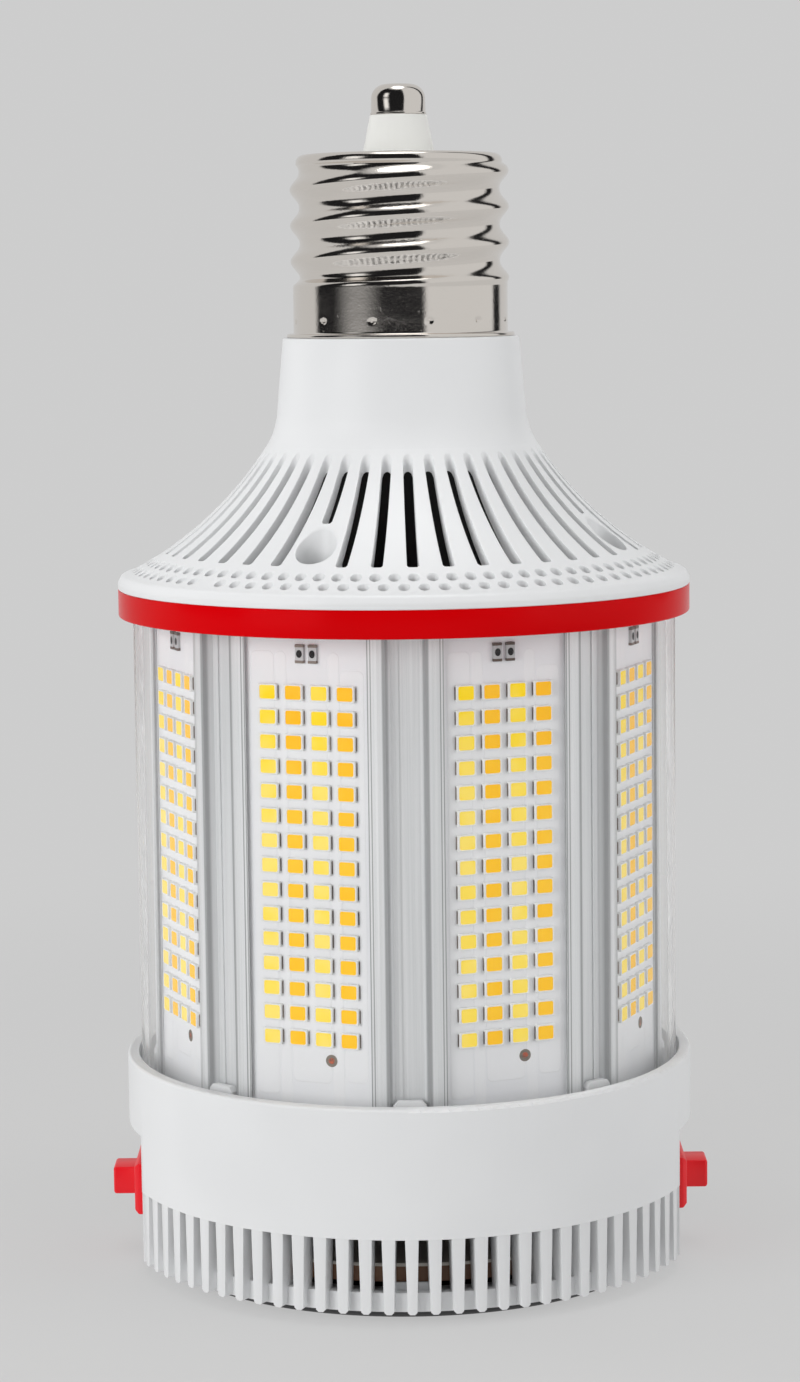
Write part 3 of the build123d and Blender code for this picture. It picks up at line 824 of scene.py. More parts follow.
def slot_outline(azimuth, start, end, steps, ends=end_steps):
    """Outline of a slot in the order of its cell's border: round at the top, square at the foot."""
    def width(radius):
        return slot_narrow + (slot_wide - slot_narrow) * (radius - slot_start) / (slot_end - slot_start)

    def spot(across, radius):
        return (azimuth + degrees(across * width(radius) / 2 / radius), radius)

    def corner(across, depth, straight):
        past = max(abs(across) - straight, 0) / (1 - straight)
        return depth * (1 - sqrt(max(1 - past * past, 0)))

    top, foot = 0.75, 0.35
    sides = [start + top + (end - foot - start - top) * step / steps for step in range(steps + 1)]
    across = [-1 + 2 * step / ends for step in range(1, ends)]
    loop = [spot(-1, radius) for radius in reversed(sides)]
    loop += [spot(share, start + corner(share, top, 0.0)) for share in across]
    loop += [spot(1, radius) for radius in sides]
    loop += [spot(-share, end - corner(share, foot, 0.55)) for share in across]
    return loop


def round_outline(azimuth, ring, radius, border):
    """Circle with as many points as a border, each in the direction of its border point."""
    loop = []
    for spot in border:
        along = radians(spot[0] - azimuth) * ring
        out = spot[1] - ring
        reach = radius / hypot(along, out)
        loop.append((azimuth + degrees(along * reach / ring), ring + out * reach))
    return loop


def hole_border(azimuth, width, inner, outer, steps=4):
    """Border of a hole's cell, four steps a side."""
    corners = [(-0.5, inner), (0.5, inner), (0.5, outer), (-0.5, outer)]
    loop = []
    for here, after in zip(corners, corners[1:] + corners[:1]):
        for step in range(steps):
            share = step / steps
            across = here[0] + (after[0] - here[0]) * share
            loop.append((azimuth + across * width, here[1] + (after[1] - here[1]) * share))
    return loop


print("points round a slot:", len(slot_outline(0, slot_start, slot_end, side_steps)))


# %% A quarter of the flare
def quarter(closed=None):
    """Eleven slots of the flare, one of them ending in a screw pocket, with the holes outside them."""
    sheet = Sheet()
    count = slot_turns // 4
    for turn in range(count):
        azimuth = first_slot + turn * slot_pitch
        low, high = azimuth - slot_pitch / 2, azimuth + slot_pitch / 2
        if turn:
            swings = (1 if turn == 1 else 0, -1 if turn == count - 1 else 0)
            border = border_of(low, high, 0, side_steps, *swings)
            spine = (slot_end - slot_start) / 2 - slot_round
            sheet.cell(border, slot_outline(azimuth, slot_start, slot_end, side_steps), slot_edge, spine)
            continue
        top_end = pocket_split - pocket_bridge
        spine = (top_end - slot_start) / 2 - slot_round
        border = border_of(low, high, 0, upper_steps, -1, 1)
        sheet.cell(border, slot_outline(azimuth, slot_start, top_end, upper_steps), slot_edge, spine)
        border = border_of(low, high, upper_steps, side_steps, -1, 1)
        opening = round_outline(azimuth, pocket_ring, pocket_radius, border)
        sheet.cell(border, opening, pocket_edge, floor=pocket_floor)
    hole_pitch = slot_pitch / 2
    limits = (band_slots, band_rows, band_end)
    for row, ring in enumerate(hole_rings):
        for turn in range(2 * count):
            azimuth = first_slot + (turn + row / 2) * hole_pitch
            border = hole_border(azimuth, hole_pitch, limits[row], limits[row + 1])
            if (row, turn) == closed:
                sheet.faces += [sheet.upper(border), sheet.under(border)]
                continue
            sheet.cell(border, round_outline(azimuth, ring, hole_radius, border), hole_edge)
    return new_mesh("flare_quarter", sheet.vertices, sheet.faces)


def moved(mesh, azimuth):
    """Turn a mesh round the lamp's axis."""
    mesh.transform(Matrix.Rotation(radians(azimuth), 4, "Z"))
    return mesh


def joined(name, meshes, merge=0.004):
    """One mesh from several, with their shared borders merged."""
    shape = bmesh.new()
    for mesh in meshes:
        shape.from_mesh(mesh)
    mesh = bpy.data.meshes.new(name)
    shape.to_mesh(mesh)
    shape.free()
    clean(mesh, merge)
    return mesh


# One hole of the outer row is closed on the left of the front, by its row and number in the quarter.
closed_hole = (1, 16)
plain_quarters = repeated(quarter(), white_plastic, Turns=3, Turn_Step=radians(90))
keyed_quarter = moved(quarter(closed_hole), -90)
print("flare faces", len(plain_quarters.polygons) + len(keyed_quarter.polygons))

# %% Neck and rim
spigot_radius = inner_radius - 0.2
spigot_bore = 14.0
spigot_top = shell_roof - 9.8
neck_bore = 18.9
neck_roof = neck_top - 2.5
neck_blend = 13.0
band_under = flare_level(band_start) - flare_wall(band_start)
rim_under = flare_level(band_end) - flare_wall(band_end)
rim_shoulder = body_radius - rim_rounding + 0.75
neck_section = rounded(
    [
        (band_start, flare_level(band_start), 0),
        (neck_foot_radius, neck_foot, neck_blend),
        (neck_top_radius, neck_top, 0.45),
        (spigot_radius, neck_top, 0),
        (spigot_radius, spigot_top, 0),
        (spigot_bore, spigot_top, 0),
        (spigot_bore, neck_roof, 0),
        (neck_bore, neck_roof, 0),
        (neck_bore, band_under, 0),
        (band_start, band_under, 0),
    ],
    steps=10,
    closed=False,
)
rim_section = rounded(
    [
        (band_end, flare_level(band_end), 0),
        (rim_shoulder, rim_top + 0.02, 1.2),
        (body_radius, rim_bottom + 1.1, 1.0),
        (body_radius, rim_bottom, 0.25),
        (band_end, rim_bottom, 0),
        (band_end, rim_under, 0),
    ],
    steps=8,
    closed=False,
)
turned_ends = [
    new_mesh("neck", *turned(neck_section, closed=False)),
    new_mesh("rim", *turned(rim_section, closed=False)),
]
for mesh in turned_ends:
    # The ends are turned so that their points meet those of the cells.
    moved(mesh, first_slot - 90)
housing_mesh = joined("housing", [plain_quarters, keyed_quarter, *turned_ends])
shade(housing_mesh)
show("flared_housing", housing_mesh, white_plastic, ["neck_housing"])

# %% [markdown]
# ## Housing screws
# Four pan-head screws sit in the pockets of the flare. A cross recess in a round head is awkward to
# cut, but every ring of the screw can be written as a distance in each direction, so the rings run
# from the shank over the head to the outline of the cross and down to its floor.

# %% Rings of a screw
screw_low, screw_high = span("housing_screws")
screw_seat = pocket_floor
screw_shank = 1.45
screw_head = 2.8
head_rise = screw_high.z - screw_seat
cross_reach, cross_half = 1.35, 0.34
screw_steps = 48


def stacked(rings):
    """Vertices and faces of a closed body through rings of points, one after the other."""
    vertices = [point for ring in rings for point in ring]
    count = len(rings[0])
    faces = [tuple(range(count)), tuple(range(len(vertices) - count, len(vertices)))]
    for level in range(len(rings) - 1):
        low, high = level * count, (level + 1) * count
        for here in range(count):
            after = (here + 1) % count
            faces.append((low + here, low + after, high + after, high + here))
    return vertices, faces


def cross_distance(angle, share):
    """Distance to the edge of a cross in a direction, drawn in by a share."""
    east, north = max(abs(cos(angle)), 1e-6), max(abs(sin(angle)), 1e-6)
    first = min(cross_reach / east, cross_half / north)
    second = min(cross_half / east, cross_reach / north)
    return share * max(first, second)


def screw_ring(level, radius=None, share=1.0):
    """Ring of the screw at a level above its seat: round, or a cross if no radius is given."""
    ring = []
    for step in range(screw_steps):
        angle = 2 * pi * (step + 0.5) / screw_steps
        reach = radius or cross_distance(angle, share)
        ring.append((reach * cos(angle), reach * sin(angle) - pocket_ring, screw_seat + level))
    return ring


screw_rings = [
    screw_ring(screw_low.z - screw_seat, screw_shank),
    screw_ring(0.0, screw_shank),
    screw_ring(0.0, screw_head),
    screw_ring(0.45 * head_rise, screw_head),
    screw_ring(0.75 * head_rise, 0.93 * screw_head),
    screw_ring(0.93 * head_rise, 0.75 * screw_head),
    screw_ring(head_rise, 0.55 * screw_head),
    screw_ring(head_rise),
    screw_ring(0.45 * head_rise, share=0.72),
]
print("rings of a screw:", len(screw_rings))

# %% Screws in their pockets
screw_unit = new_mesh("screw", *stacked(screw_rings))
screw_mesh = moved(repeated(screw_unit, screw_steel, Turns=4, Turn_Step=radians(90)), first_slot)
shade(screw_mesh, 32)
show("pan_head_screws", screw_mesh, screw_steel, ["housing_screws"])

# %% [markdown]
# ## Trim ring and clear cover
# The red ring is a glossy moulding with slightly rounded edges. The cover is a clear plastic tube.
# Clear plastic is a Principled shader with full transmission, mixed with a Transparent shader for
# the rays that carry light to the boards inside, so that they are lit once and without noise. Its
# index stays near 1, because the real tube hardly bends what lies behind it. A clear coat gives the
# gloss back, and a sheen makes the tube paler at its edges, where the eye looks along the wall.

# %% Trim ring
ring_low, ring_high = span("trim_ring")
cover_low, cover_high = span("clear_cover")
cover_radius = cover_high.x
cover_wall = 1.5
ring_gap = 0.2
ring_section = rounded(
    [
        (ring_high.x, ring_low.z, 0.35),
        (ring_high.x, ring_high.z, 0.2),
        (cover_radius + ring_gap, ring_high.z, 0),
        (cover_radius + ring_gap, ring_low.z, 0.15),
    ]
)
ring_mesh = new_mesh("ring", *turned(ring_section, ring_steps))
shade(ring_mesh)
show("red_trim_ring", ring_mesh, red_plastic, ["trim_ring"])

# %% Clear plastic
clear_plastic, tree, shader = new_finish(
    "clear_plastic",
    Base_Color=(0.995, 0.995, 0.995, 1),
    Transmission_Weight=1.0,
    IOR=1.02,
    Metallic=0.0,
    Coat_Weight=0.12,
    Coat_Roughness=0.02,
    Coat_IOR=1.45,
    Sheen_Weight=0.5,
    Sheen_Roughness=0.35,
)
marks = use_group(tree, smear, Gloss=0.015, Strength=0.05)
tree.links.new(marks["Roughness"], shader.inputs["Roughness"])
through = wire(tree, "ShaderNodeBsdfTransparent", (0.99, 0.99, 0.99, 1))
path = wire(tree, "ShaderNodeLightPath").node.outputs
carries_light = calc(tree, "MAXIMUM", path["Is Shadow Ray"], path["Is Diffuse Ray"])
mixed = wire(tree, "ShaderNodeMixShader", carries_light, shader.outputs["BSDF"], through)
tree.links.new(mixed, tree.nodes["Material Output"].inputs["Surface"])
print("clear plastic:", len(tree.nodes), "nodes")

# %% Clear cover
cover_inner = cover_radius - cover_wall
cover_edge = 0.2
cover_corners = [
    (cover_radius, cover_low.z, cover_edge),
    (cover_radius, cover_high.z, cover_edge),
    (cover_inner, cover_high.z, cover_edge),
    (cover_inner, cover_low.z, cover_edge),
]
cover_mesh = new_mesh("cover", *turned(rounded(cover_corners, steps=3), ring_steps))
shade(cover_mesh)
show("clear_cover_tube", cover_mesh, clear_plastic, ["clear_cover"])

# %% [markdown]
# ## Light boards
# Eight white boards carry the light packages. Under the white mask the copper areas stand up a
# little and show as faint outlines. All boards share one finish: it folds the direction round the
# lamp into one eighth, so that every board sees the same places across and up its face, and draws
# the copper areas there as rounded boxes.

# %% Places on the boards
board_front = 43.5
boards = 8
first_board = 180 / boards
board_step = radians(360 / boards)


def board_place(tree, middle=first_board):
    """Places across a face, from its middle, and up the lamp, in millimetres, alike on all eight."""
    spot = wire(tree, "ShaderNodeSeparateXYZ", object_place(tree)).node.outputs
    angle = calc(tree, "ARCTAN2", spot["X"], calc(tree, "MULTIPLY", spot["Y"], -1.0))
    turn = calc(tree, "SUBTRACT", angle, radians(middle))
    turn = calc(tree, "WRAP", turn, board_step / 2, -board_step / 2)
    squares = [calc(tree, "POWER", spot[side], 2.0) for side in "XY"]
    reach = calc(tree, "SQRT", calc(tree, "ADD", *squares))
    across = calc(tree, "MULTIPLY", reach, calc(tree, "SINE", turn))
    return [calc(tree, "MULTIPLY", place, 1 / MM) for place in (across, spot["Z"])]


print("boards:", boards, "each", degrees(board_step), "degrees on from the last")

# %% Copper area
copper_area, took, gave = new_group(
    "copper_area",
    "ShaderNodeTree",
    [
        ("Middle", FLOAT, 0.0),
        ("Level", FLOAT, 80.0),
        ("Half Width", FLOAT, 4.0),
        ("Half Height", FLOAT, 30.0),
        ("Corner", FLOAT, 1.0),
    ],
    [("Height", FLOAT)],
)
across, up = board_place(copper_area)


def past_edge(place, middle, half):
    """How far a place lies past the straight part of a rounded box."""
    away = calc(copper_area, "ABSOLUTE", calc(copper_area, "SUBTRACT", place, middle))
    inner = calc(copper_area, "SUBTRACT", half, took["Corner"])
    return calc(copper_area, "MAXIMUM", calc(copper_area, "SUBTRACT", away, inner), 0.0)


sideways = calc(copper_area, "POWER", past_edge(across, took["Middle"], took["Half Width"]), 2.0)
upwards = calc(copper_area, "POWER", past_edge(up, took["Level"], took["Half Height"]), 2.0)
reach = calc(copper_area, "SQRT", calc(copper_area, "ADD", sideways, upwards))
distance = calc(copper_area, "SUBTRACT", reach, took["Corner"])
step_half = 0.09
copper_area.links.new(ease(copper_area, distance, -step_half, step_half, 1.0, 0.0), gave["Height"])
print("a copper area is drawn with", len(copper_area.nodes), "nodes")

# %% Board finish
board_white, tree, shader = new_finish("board_white")
effect = use_group(tree, skin, Tint=srgb(240, 241, 243), Shade=srgb(234, 235, 238), Gloss=0.32)
copper = 0.0
for middle, level, half_width, half_height in (
    (-8.3, 76.5, 2.1, 38.5),
    (-4.9, 75.0, 1.0, 40.0),
    (0.0, 73.5, 3.6, 33.0),
    (4.9, 75.0, 1.0, 40.0),
    (8.3, 76.5, 2.1, 35.5),
):
    sizes = {"Middle": middle, "Level": level, "Half Width": half_width, "Half Height": half_height}
    area = use_group(tree, copper_area, **sizes)
    copper = calc(tree, "MAXIMUM", copper, area["Height"])
copper_share = calc(tree, "MULTIPLY", copper, 0.35)
tinted = blend_colors(tree, copper_share, effect["Color"], srgb(246, 246, 246))
tree.links.new(tinted, shader.inputs["Base Color"])
tree.links.new(effect["Roughness"], shader.inputs["Roughness"])
add_bump(tree, shader, copper, 0.05, 0.8)
print("board finish:", len(tree.nodes), "nodes")

# %% [markdown]
# ## Light packages
# A package is a white moulded frame with a window of coloured silicone, soldered at both sides. Four
# columns stand on each board, two of a cooler and two of a warmer colour in turn. One package is
# modelled with about a hundred faces, in front of the lamp, and the pattern tree repeats it up the
# rows, across the columns and round the eight boards.

# %% Package finishes
frame_white = grained("package_frame", skin, srgb(240, 240, 238), srgb(232, 232, 230), 0.28, 0.004)
tinned = grained("tinned_solder", skin, srgb(150, 138, 130), srgb(92, 80, 74), 0.4, 0.06, Metallic=0.5)
painted_light_below, deep_above = 85, 108


def silicone(name, deep, pale):
    """Coloured silicone over the chips, paler down the board as a painted highlight, and uneven from
    package to package.

    The phosphor in it turns the blue part of the light into yellow, which a faint painted glow stands for.
    """
    glow = {"Emission_Color": deep, "Emission_Strength": 0.14}
    finish, tree, shader = new_finish(name, Roughness=0.24, IOR=1.42, **glow)
    spot = ease(tree, noise(tree, object_place(tree), 190.0, 1.0), 0.38, 0.62)
    level = wire(tree, "ShaderNodeSeparateXYZ", object_place(tree), out=2)
    # Painted highlight: the silicone turns paler lower on the board.
    lower = ease(tree, level, painted_light_below * MM, deep_above * MM, 0.6, 0.0)
    share = calc(tree, "MULTIPLY_ADD", spot, 0.4, lower)
    tree.links.new(blend_colors(tree, share, deep, pale), shader.inputs["Base Color"])
    add_bump(tree, shader, noise(tree, object_place(tree), 900.0, 1.0), 0.02, 0.15)
    return finish


cool_silicone = silicone("cool_phosphor", srgb(255, 217, 0), srgb(255, 228, 116))
warm_silicone = silicone("warm_phosphor", srgb(255, 187, 0), srgb(255, 199, 48))
print("silicone finishes:", cool_silicone.name, warm_silicone.name)

# %% Bodies on the boards
column_pitch, row_pitch = 4.8, 4.27
rows, columns = 15, 4
package_width, package_height, package_rise = 3.5, 2.8, 0.75
window_width, window_height = 2.94, 2.42
first_row = span("cool_leds_1")[0].z + package_height / 2
first_column = -(columns - 1) / 2 * column_pitch


def outline_box(width, height, rounding, out, steps=3):
    """Rounded rectangle about the origin, at a height above the board, as (across, up, out) points."""
    points = []
    for turn, (side, top) in enumerate(((1, 1), (-1, 1), (-1, -1), (1, -1))):
        for step in range(steps):
            angle = pi / 2 * (turn + step / (steps - 1))
            along = side * (width / 2 - rounding) + rounding * cos(angle)
            points.append((along, top * (height / 2 - rounding) + rounding * sin(angle), out))
    return points


def on_boards(name, rings, across, level, finish, **pattern):
    """Body through rings above a board, set at a place across and up, and repeated on every board."""
    vertices, faces = stacked(rings)
    placed = [(x + across, -(board_front + out), up + level) for x, up, out in vertices]
    field = repeated(new_mesh(name, placed, faces), finish, Turns=boards, Turn_Step=board_step, **pattern)
    return moved(field, first_board)


print("packages a board:", rows * columns)

# %% One light package
frame_rings = [
    outline_box(package_width, package_height, 0.12, 0.0),
    outline_box(package_width, package_height, 0.12, package_rise - 0.1),
    outline_box(package_width - 0.14, package_height - 0.14, 0.1, package_rise),
    outline_box(window_width, window_height, 0.34, package_rise),
    outline_box(window_width - 0.16, window_height - 0.16, 0.3, package_rise - 0.1),
]
window_rings = [
    outline_box(window_width - 0.04, window_height - 0.04, 0.33, package_rise - 0.09),
    outline_box(window_width - 0.1, window_height - 0.1, 0.31, package_rise - 0.025),
    outline_box(window_width - 0.9, window_height - 0.9, 0.3, package_rise - 0.01),
]
joint_height = 2.3
joint_rings = [
    outline_box(package_width + spread, joint_height - draft, 0.1, out)
    for spread, draft, out in ((0.26, 0.0, 0.005), (0.2, 0.1, 0.1), (0.02, 0.2, 0.28))
]
print("faces of a package:", sum(len(stacked(one)[1]) for one in (frame_rings, window_rings, joint_rings)))

# %% Light packages on every board
ladder = {"Rows": rows, "Row_Pitch": row_pitch * MM}
every = {"Columns": columns, "Column_Pitch": column_pitch * MM, **ladder}
second = {"Columns": columns // 2, "Column_Pitch": 2 * column_pitch * MM, **ladder}
cool_nodes = [f"cool_leds_{number}" for number in range(1, boards + 1)]
warm_nodes = [f"warm_leds_{number}" for number in range(1, boards + 1)]
for name, rings, column, finish, pattern, slot, replaced in (
    ("package_frames", frame_rings, 0, frame_white, every, "board_white", ()),
    ("package_joints", joint_rings, 0, tinned, every, "screw_steel", ()),
    ("cool_windows", window_rings, 0, cool_silicone, second, "cool_phosphor", cool_nodes),
    ("warm_windows", window_rings, 1, warm_silicone, second, "warm_phosphor", warm_nodes),
):
    across = first_column + column * column_pitch
    field = on_boards(name, rings, across, first_row, finish, **pattern)
    shade(field, 32)
    show(name, field, finish, replaced)

# %% [markdown]
# ## Links and marks on the boards
# Near the top of each board stand two chip links: pale bodies with tinned ends and a printed zero.
# Below the packages is a bare copper spot in a dark ring, which a placing machine sights on.

# %% Finishes of links and marks
link_low, link_high = span("link_resistors")
link_width, link_rise, link_pitch = 1.6, 0.6, 2.4
link_height = link_high.z - link_low.z
link_level = (link_low.z + link_high.z) / 2
end_band = 0.5
link_body = grained("link_ceramic", skin, srgb(200, 201, 202), srgb(178, 179, 180), 0.35, 0.01)
link_ink = grained("link_ink", skin, srgb(34, 34, 36), srgb(26, 26, 28), 0.5, 0.01)
bare_copper = grained("bare_copper", skin, srgb(226, 124, 96), srgb(204, 106, 80), 0.3, 0.01)
mask_opening = grained("mask_opening", skin, srgb(136, 128, 118), srgb(118, 110, 102), 0.5, 0.01)
print("link", link_width, "by", round(link_height, 2), "mm")


# %% Links and sighting marks
def slab(width, height, rise, edge):
    """Rings of a low block with a rounded upper edge."""
    return [
        outline_box(width, height, edge, 0.0),
        outline_box(width, height, edge, rise - edge),
        outline_box(width - 2 * edge, height - 2 * edge, edge, rise),
    ]


def flat_ring(outer, inner, low, high, stretch=1.0, steps=24):
    """Rings of a thin band of ink or copper that lies on a surface, or a disc where inner is small."""
    def circle(radius, out):
        spots = [2 * pi * step / steps for step in range(steps)]
        return [(radius * cos(spot), radius * stretch * sin(spot), out) for spot in spots]

    return [circle(inner, low), circle(outer, low), circle(outer, high), circle(inner, high)]


half_pitch = link_pitch / 2
end_level = (link_height - end_band) / 2
link_pair = {"Columns": 2, "Column_Pitch": link_pitch * MM}
link_ends = {"Rows": 2, "Row_Pitch": 2 * end_level * MM, **link_pair}
body_rings = slab(link_width - 0.06, link_height - 0.1, link_rise - 0.03, 0.05)
cap_rings = slab(link_width, end_band, link_rise, 0.06)
zero_rings = flat_ring(0.54, 0.36, link_rise - 0.05, link_rise - 0.015, 1.25)
dot_radius, mark_radius, mark_rise = 0.56, 1.08, 0.02
dot_rings = flat_ring(dot_radius, 0.02, 0.0, mark_rise)
mark_rings = flat_ring(mark_radius, dot_radius, 0.0, mark_rise)
mark_across, mark_level = 3.55, 44.5
stands_for = {"link_bodies": ["link_resistors"]}
for name, rings, across, level, finish, pattern, slot in (
    ("link_bodies", body_rings, -half_pitch, link_level, link_body, link_pair, "link_black"),
    ("link_ends", cap_rings, -half_pitch, link_level - end_level, tinned, link_ends, "screw_steel"),
    ("link_prints", zero_rings, -half_pitch, link_level, link_ink, link_pair, "link_black"),
    ("sighting_dots", dot_rings, mark_across, mark_level, bare_copper, {}, "circuit_board"),
    ("sighting_rings", mark_rings, mark_across, mark_level, mask_opening, {}, "circuit_board"),
):
    field = on_boards(name, rings, across, level, finish, **pattern)
    shade(field, 32)
    show(name, field, finish, stands_for.get(name, ()))

# %% [markdown]
# ## Lower cap, selectors and plate
# These solids already have their true form: the comb, the flats, the shelf and the tabs of the cap,
# and the bezels of the selectors. A copy of each mesh is merged, its flat faces are joined up again,
# and a bevel rounds every edge as a mould would.


# %% Rounded copies of solids
def softened(node, width, segments=2, angle=30):
    """Copy of a solid's mesh with flat faces joined and its edges rounded by a width in millimetres."""
    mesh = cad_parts[node].data.copy()
    shape = bmesh.new()
    shape.from_mesh(mesh)
    bmesh.ops.remove_doubles(shape, verts=shape.verts, dist=0.002 * MM)
    bmesh.ops.dissolve_limit(
        shape, angle_limit=radians(1), verts=shape.verts, edges=shape.edges, delimit={"NORMAL"}
    )
    shape.to_mesh(mesh)
    shape.free()
    carrier = bpy.data.objects.new("carrier", mesh)
    bevel = carrier.modifiers.new("bevel", "BEVEL")
    bevel.width = width * MM
    bevel.segments = segments
    bevel.limit_method = "ANGLE"
    bevel.angle_limit = radians(angle)
    bevel.use_clamp_overlap = True
    bevel.miter_outer = "MITER_ARC"
    weighted = carrier.modifiers.new("weighted", "WEIGHTED_NORMAL")
    weighted.keep_sharp = True
    soft = evaluated(carrier)
    soft.shade_smooth()
    return soft


print("solids to round:", ["bottom_cap", "power_knob", "color_knob", "end_plate"])

# %% Lower cap, selectors and plate
cap_radius = span("bottom_cap")[1].x
# Painted shade greys the comb's inside between these radii, fading out above these levels.
inner_comb, outer_comb = cap_radius - 5.0, cap_radius - 2.6
comb_fade_start, comb_fade_end = 14, 20


def painted_shade_inside_comb(tree, color):
    """Colour with painted shade: greyer behind the comb, where little light gets in."""
    flat_place = object_place(tree, (1, 1, 0))
    reach = wire(tree, "ShaderNodeVectorMath", flat_place, operation="LENGTH", out=1)
    hidden = ease(tree, reach, inner_comb * MM, outer_comb * MM, 1.0, 0.0)
    level = wire(tree, "ShaderNodeSeparateXYZ", object_place(tree), out=2)
    low_part = ease(tree, level, comb_fade_start * MM, comb_fade_end * MM, 1.0, 0.0)
    inside = calc(tree, "MULTIPLY", hidden, low_part)
    return blend_colors(tree, inside, color, srgb(190, 192, 194))


cap_plastic = grained(
    "cap_plastic", skin, srgb(233, 234, 235), srgb(228, 229, 230), 0.26, 0.004, painted_shade_inside_comb
)
show("lower_cap", softened("bottom_cap", 0.22), cap_plastic, ["bottom_cap"])
for body in ("power", "color"):
    selector = softened(f"{body}_knob", 0.18)
    show(f"{body}_selector", selector, red_selector, [f"{body}_knob"], body)
show("closing_plate", softened("end_plate", 0.25), plate_dark, ["end_plate"])

# %% [markdown]
# ## Pieces that keep their solids
# The extrusion, the bare boards and everything inside keep their solids and only take a finish. The
# control board shows its brown edge through the comb, with a pale line where its upper face ends.

# %% Extrusion finish
# The flanks are darkened as painted shade; the die lines are marks of the extrusion.
flank_middle, flank_half, flank_shade_share = 3.45, 0.5, 0.65
die_lines, die_half, die_share = (5.9, 6.4, 7.0, 7.6), 0.09, 0.7


def lines_and_flank_shade(tree, color):
    """Colour with painted shade on the flanks, and dark die lines, that run up the profile on both sides of
    a corner.
    """
    aside = calc(tree, "ABSOLUTE", board_place(tree, 0.0)[0])
    stripes = [(flank_middle, flank_half, flank_shade_share, srgb(126, 127, 129))]
    stripes += [(middle, die_half, die_share, srgb(120, 121, 122)) for middle in die_lines]
    for middle, half, share, dark in stripes:
        away = calc(tree, "ABSOLUTE", calc(tree, "SUBTRACT", aside, middle))
        mask = calc(tree, "MULTIPLY", ease(tree, away, 0.6 * half, 1.4 * half, 1.0, 0.0), share)
        color = blend_colors(tree, mask, color, dark)
    return color


bright, dull = srgb(238, 239, 240), srgb(218, 220, 221)
extrusion = grained("extruded_aluminium", streak, bright, dull, 0.32, 0.004, lines_and_flank_shade, Metallic=0.35)
print("die lines a side:", len(die_lines))

# %% Finishes of the solids
control_laminate, tree, shader = new_finish("control_laminate")
effect = use_group(tree, skin, Tint=srgb(118, 84, 62), Shade=srgb(92, 64, 48), Gloss=0.5)
board_top = span("control_board")[1].z
level = wire(tree, "ShaderNodeSeparateXYZ", object_place(tree), out=2)
pale_line = ease(tree, level, (board_top - 0.6) * MM, (board_top - 0.5) * MM)
laminate = blend_colors(tree, pale_line, effect["Color"], srgb(196, 190, 182))
tree.links.new(laminate, shader.inputs["Base Color"])
tree.links.new(effect["Roughness"], shader.inputs["Roughness"])

can_sleeve = grained("can_sleeve", skin, srgb(34, 44, 74), srgb(26, 34, 60), 0.3, 0.01)
winding_tape = grained("winding_tape", skin, srgb(222, 178, 44), srgb(206, 160, 36), 0.4, 0.02)
core_green = grained("core_green", skin, srgb(40, 104, 74), srgb(32, 88, 62), 0.45, 0.02)
film_box = grained("film_box", skin, srgb(178, 148, 66), srgb(164, 134, 56), 0.35, 0.01)
fuse_body = grained("fuse_body", skin, srgb(96, 72, 58), srgb(82, 62, 50), 0.35, 0.01)
lead_insulation = grained("lead_insulation", skin, srgb(206, 206, 202), srgb(192, 192, 188), 0.45, 0.01)
print("finishes:", len(bpy.data.materials))

# %% Solids that only take a finish
solid_finishes = {
    extrusion: ["heat_sink"],
    control_laminate: ["control_board"],
    circuit_board: ["driver_board"],
    switch_black: ["power_lever", "color_lever", "power_switch", "color_switch"],
    sleeve_film: ["driver_sleeve"],
    screw_steel: ["cap_screws"],
    can_sleeve: ["bulk_capacitors"],
    winding_tape: ["transformer"],
    core_green: ["input_choke"],
    film_box: ["film_capacitor"],
    fuse_body: ["input_fuse"],
    lead_insulation: ["base_leads"],
    board_white: [f"led_board_{number}" for number in range(1, boards + 1)],
}
for finish, nodes in solid_finishes.items():
    for node in nodes:
        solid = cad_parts[node]
        if not solid.material_slots:
            solid.data.materials.append(None)
        solid.material_slots[0].material = finish
print("dressed solids:", sum(len(nodes) for nodes in solid_finishes.values()))

# %% [markdown]
# ## Floor, air and lamps
# The picture has one flat pale grey ground. The floor takes shadow near the lamp and fades into a
# plain tone further out, so no horizon shows. Mirror-like parts show the studio: a dark room round
# the camera with a faint glow and a bright spot on its left, a large white card on the right, a
# bright patch overhead and pale air elsewhere. That is written into the air by direction, only for
# mirrored rays, while soft lamps that no mirror shows light the surfaces at a plain level.

# %% Floor
ground_tone = srgb(204, 204, 204)
floor_half = 3000
fade_start, fade_end = 170, 420
plain_share = 0.72
signs = ((-1, -1), (1, -1), (1, 1), (-1, 1))
corners = [(across * floor_half, along * floor_half, 0) for across, along in signs]
floor_mesh = new_mesh("floor", corners, [(0, 1, 2, 3)])
floor_paint, tree, shader = new_finish(
    "floor_paint", Base_Color=srgb(216, 216, 216), Roughness=1.0, Specular_IOR_Level=0.0
)
away = wire(tree, "ShaderNodeVectorMath", object_place(tree), operation="LENGTH", out=1)
share = ease(tree, away, fade_start * MM, fade_end * MM, plain_share)
plain = wire(tree, "ShaderNodeEmission", ground_tone, 1.0)
faded = wire(tree, "ShaderNodeMixShader", share, shader.outputs["BSDF"], plain)
tree.links.new(faded, tree.nodes["Material Output"].inputs["Surface"])
floor = bpy.data.objects.new("floor", floor_mesh)
floor_mesh.materials.append(floor_paint)
scene.collection.objects.link(floor)
print("floor", 2 * floor_half, "mm wide")

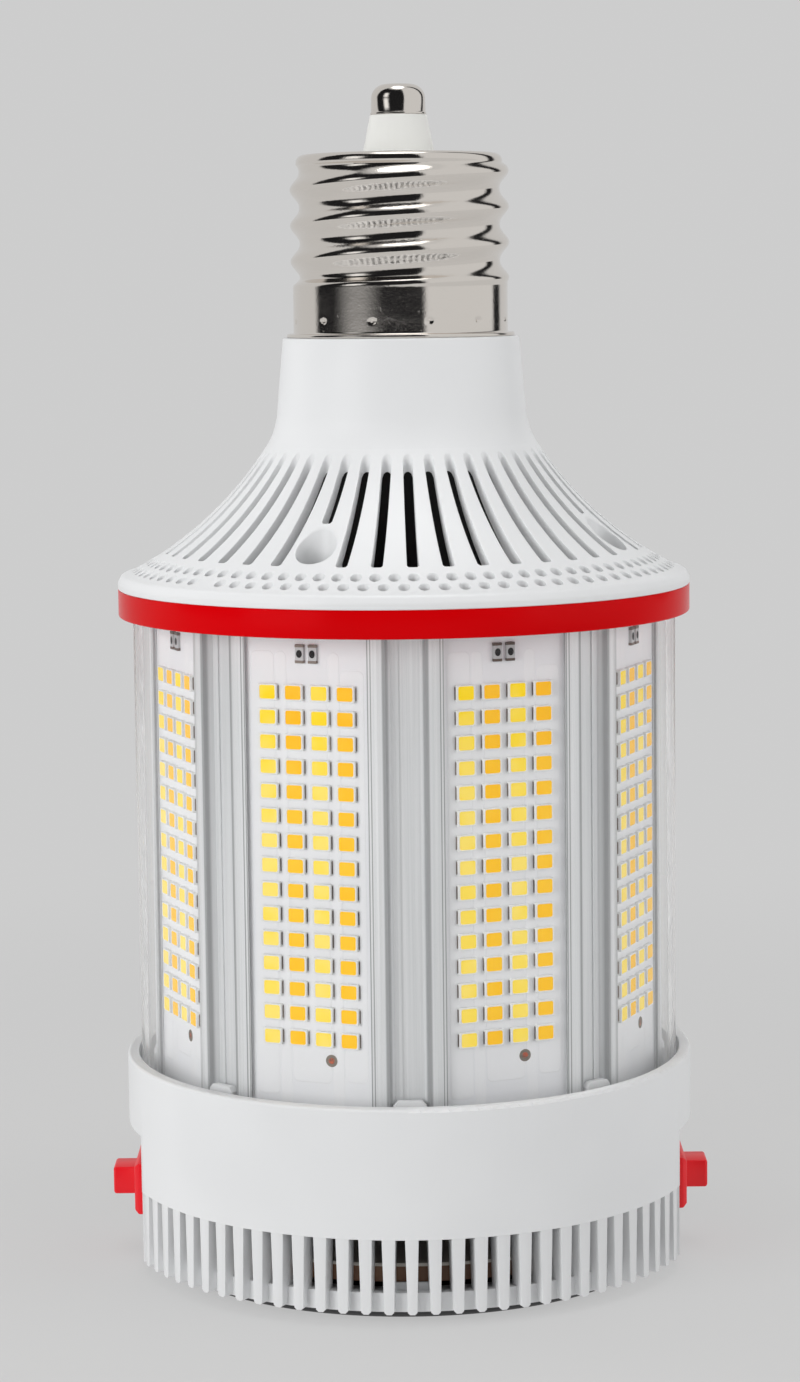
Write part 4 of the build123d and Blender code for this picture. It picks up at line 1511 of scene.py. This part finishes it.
# %% Directions in the air
world = bpy.data.worlds.new("studio_air")
scene.world = world
world.use_nodes = True
tree = world.node_tree
direction = wire(tree, "ShaderNodeSeparateXYZ", wire(tree, "ShaderNodeTexCoord")).node.outputs
bearing = calc(tree, "ARCTAN2", direction["X"], calc(tree, "MULTIPLY", direction["Y"], -1.0))
bearing = calc(tree, "DEGREES", bearing)


def sector(start, end, blur=4.0):
    """Share of a sector of directions round the lamp, in degrees from the front to the right."""
    begun = ease(tree, bearing, start - blur, start + blur)
    return calc(tree, "MULTIPLY", begun, ease(tree, bearing, end - blur, end + blur, 1.0, 0.0))


def above(start, end):
    """Share of directions that point up by more than a height on the unit ball, eased in."""
    return ease(tree, direction["Z"], start, end)


def below(start, end):
    """Share of directions that point up by less than a height on the unit ball, eased out."""
    return ease(tree, direction["Z"], start, end, 1.0, 0.0)


print("air nodes so far:", len(tree.nodes))

# %% What mirrors show
card_start, card_end = 27, 117
low_air = below(0.88, 0.95)
dark_room = calc(tree, "MAXIMUM", sector(-101, card_start), sector(card_end, 133))
spot_height = calc(tree, "MULTIPLY", above(0.1, 0.25), below(0.5, 0.65))
mirrored = ground_tone
for bearings, heights, tone in (
    (dark_room, low_air, (0.012, 0.012, 0.013, 1)),
    (sector(card_start, card_end), low_air, (0.68, 0.68, 0.68, 1)),
    (sector(-64, -30, 14.0), below(-0.05, 0.12), (0.35, 0.35, 0.35, 1)),
    (sector(-64, -44, 7.0), spot_height, (1.0, 1.0, 1.0, 1)),
    (1.0, above(0.955, 0.975), (2.6, 2.6, 2.6, 1)),
):
    share = calc(tree, "MULTIPLY", bearings, heights)
    mirrored = blend_colors(tree, share, mirrored, tone)
path = wire(tree, "ShaderNodeLightPath").node.outputs
in_mirror = calc(tree, "MULTIPLY", path["Is Glossy Ray"], path["Is Reflection Ray"])
seen = blend_colors(tree, in_mirror, ground_tone, mirrored)
fill_light = 0.36
strength = calc(tree, "MULTIPLY_ADD", path["Is Diffuse Ray"], fill_light - 1.0, 1.0)
background = tree.nodes["Background"]
tree.links.new(seen, background.inputs["Color"])
tree.links.new(strength, background.inputs["Strength"])
print("air nodes:", len(tree.nodes))

# %% Lamps
aim = Vector((0, 0, 110))


def soft_lamp(name, bearing, distance, level, size, power):
    """Area lamp aimed at the middle of the object, by bearing in degrees, millimetres and watts."""
    lamp = bpy.data.lights.new(name, "AREA")
    lamp.shape = "RECTANGLE"
    lamp.size, lamp.size_y = (side * MM for side in size)
    lamp.energy = power
    holder = bpy.data.objects.new(name, lamp)
    angle = radians(bearing)
    place = Vector((distance * sin(angle), -distance * cos(angle), level))
    holder.location = place * MM
    holder.rotation_euler = (aim - place).to_track_quat("-Z", "Y").to_euler()
    holder.visible_glossy = False
    holder.visible_transmission = False
    scene.collection.objects.link(holder)
    print(name, power, "W")


soft_lamp("left_softbox", -47, 900, 200, (520, 700), 5.5)
soft_lamp("left_rim", -118, 900, 220, (600, 700), 1.7)
soft_lamp("right_fill", 70, 900, 200, (800, 700), 3.8)
soft_lamp("top_softbox", 20, 60, 950, (640, 640), 3.7)
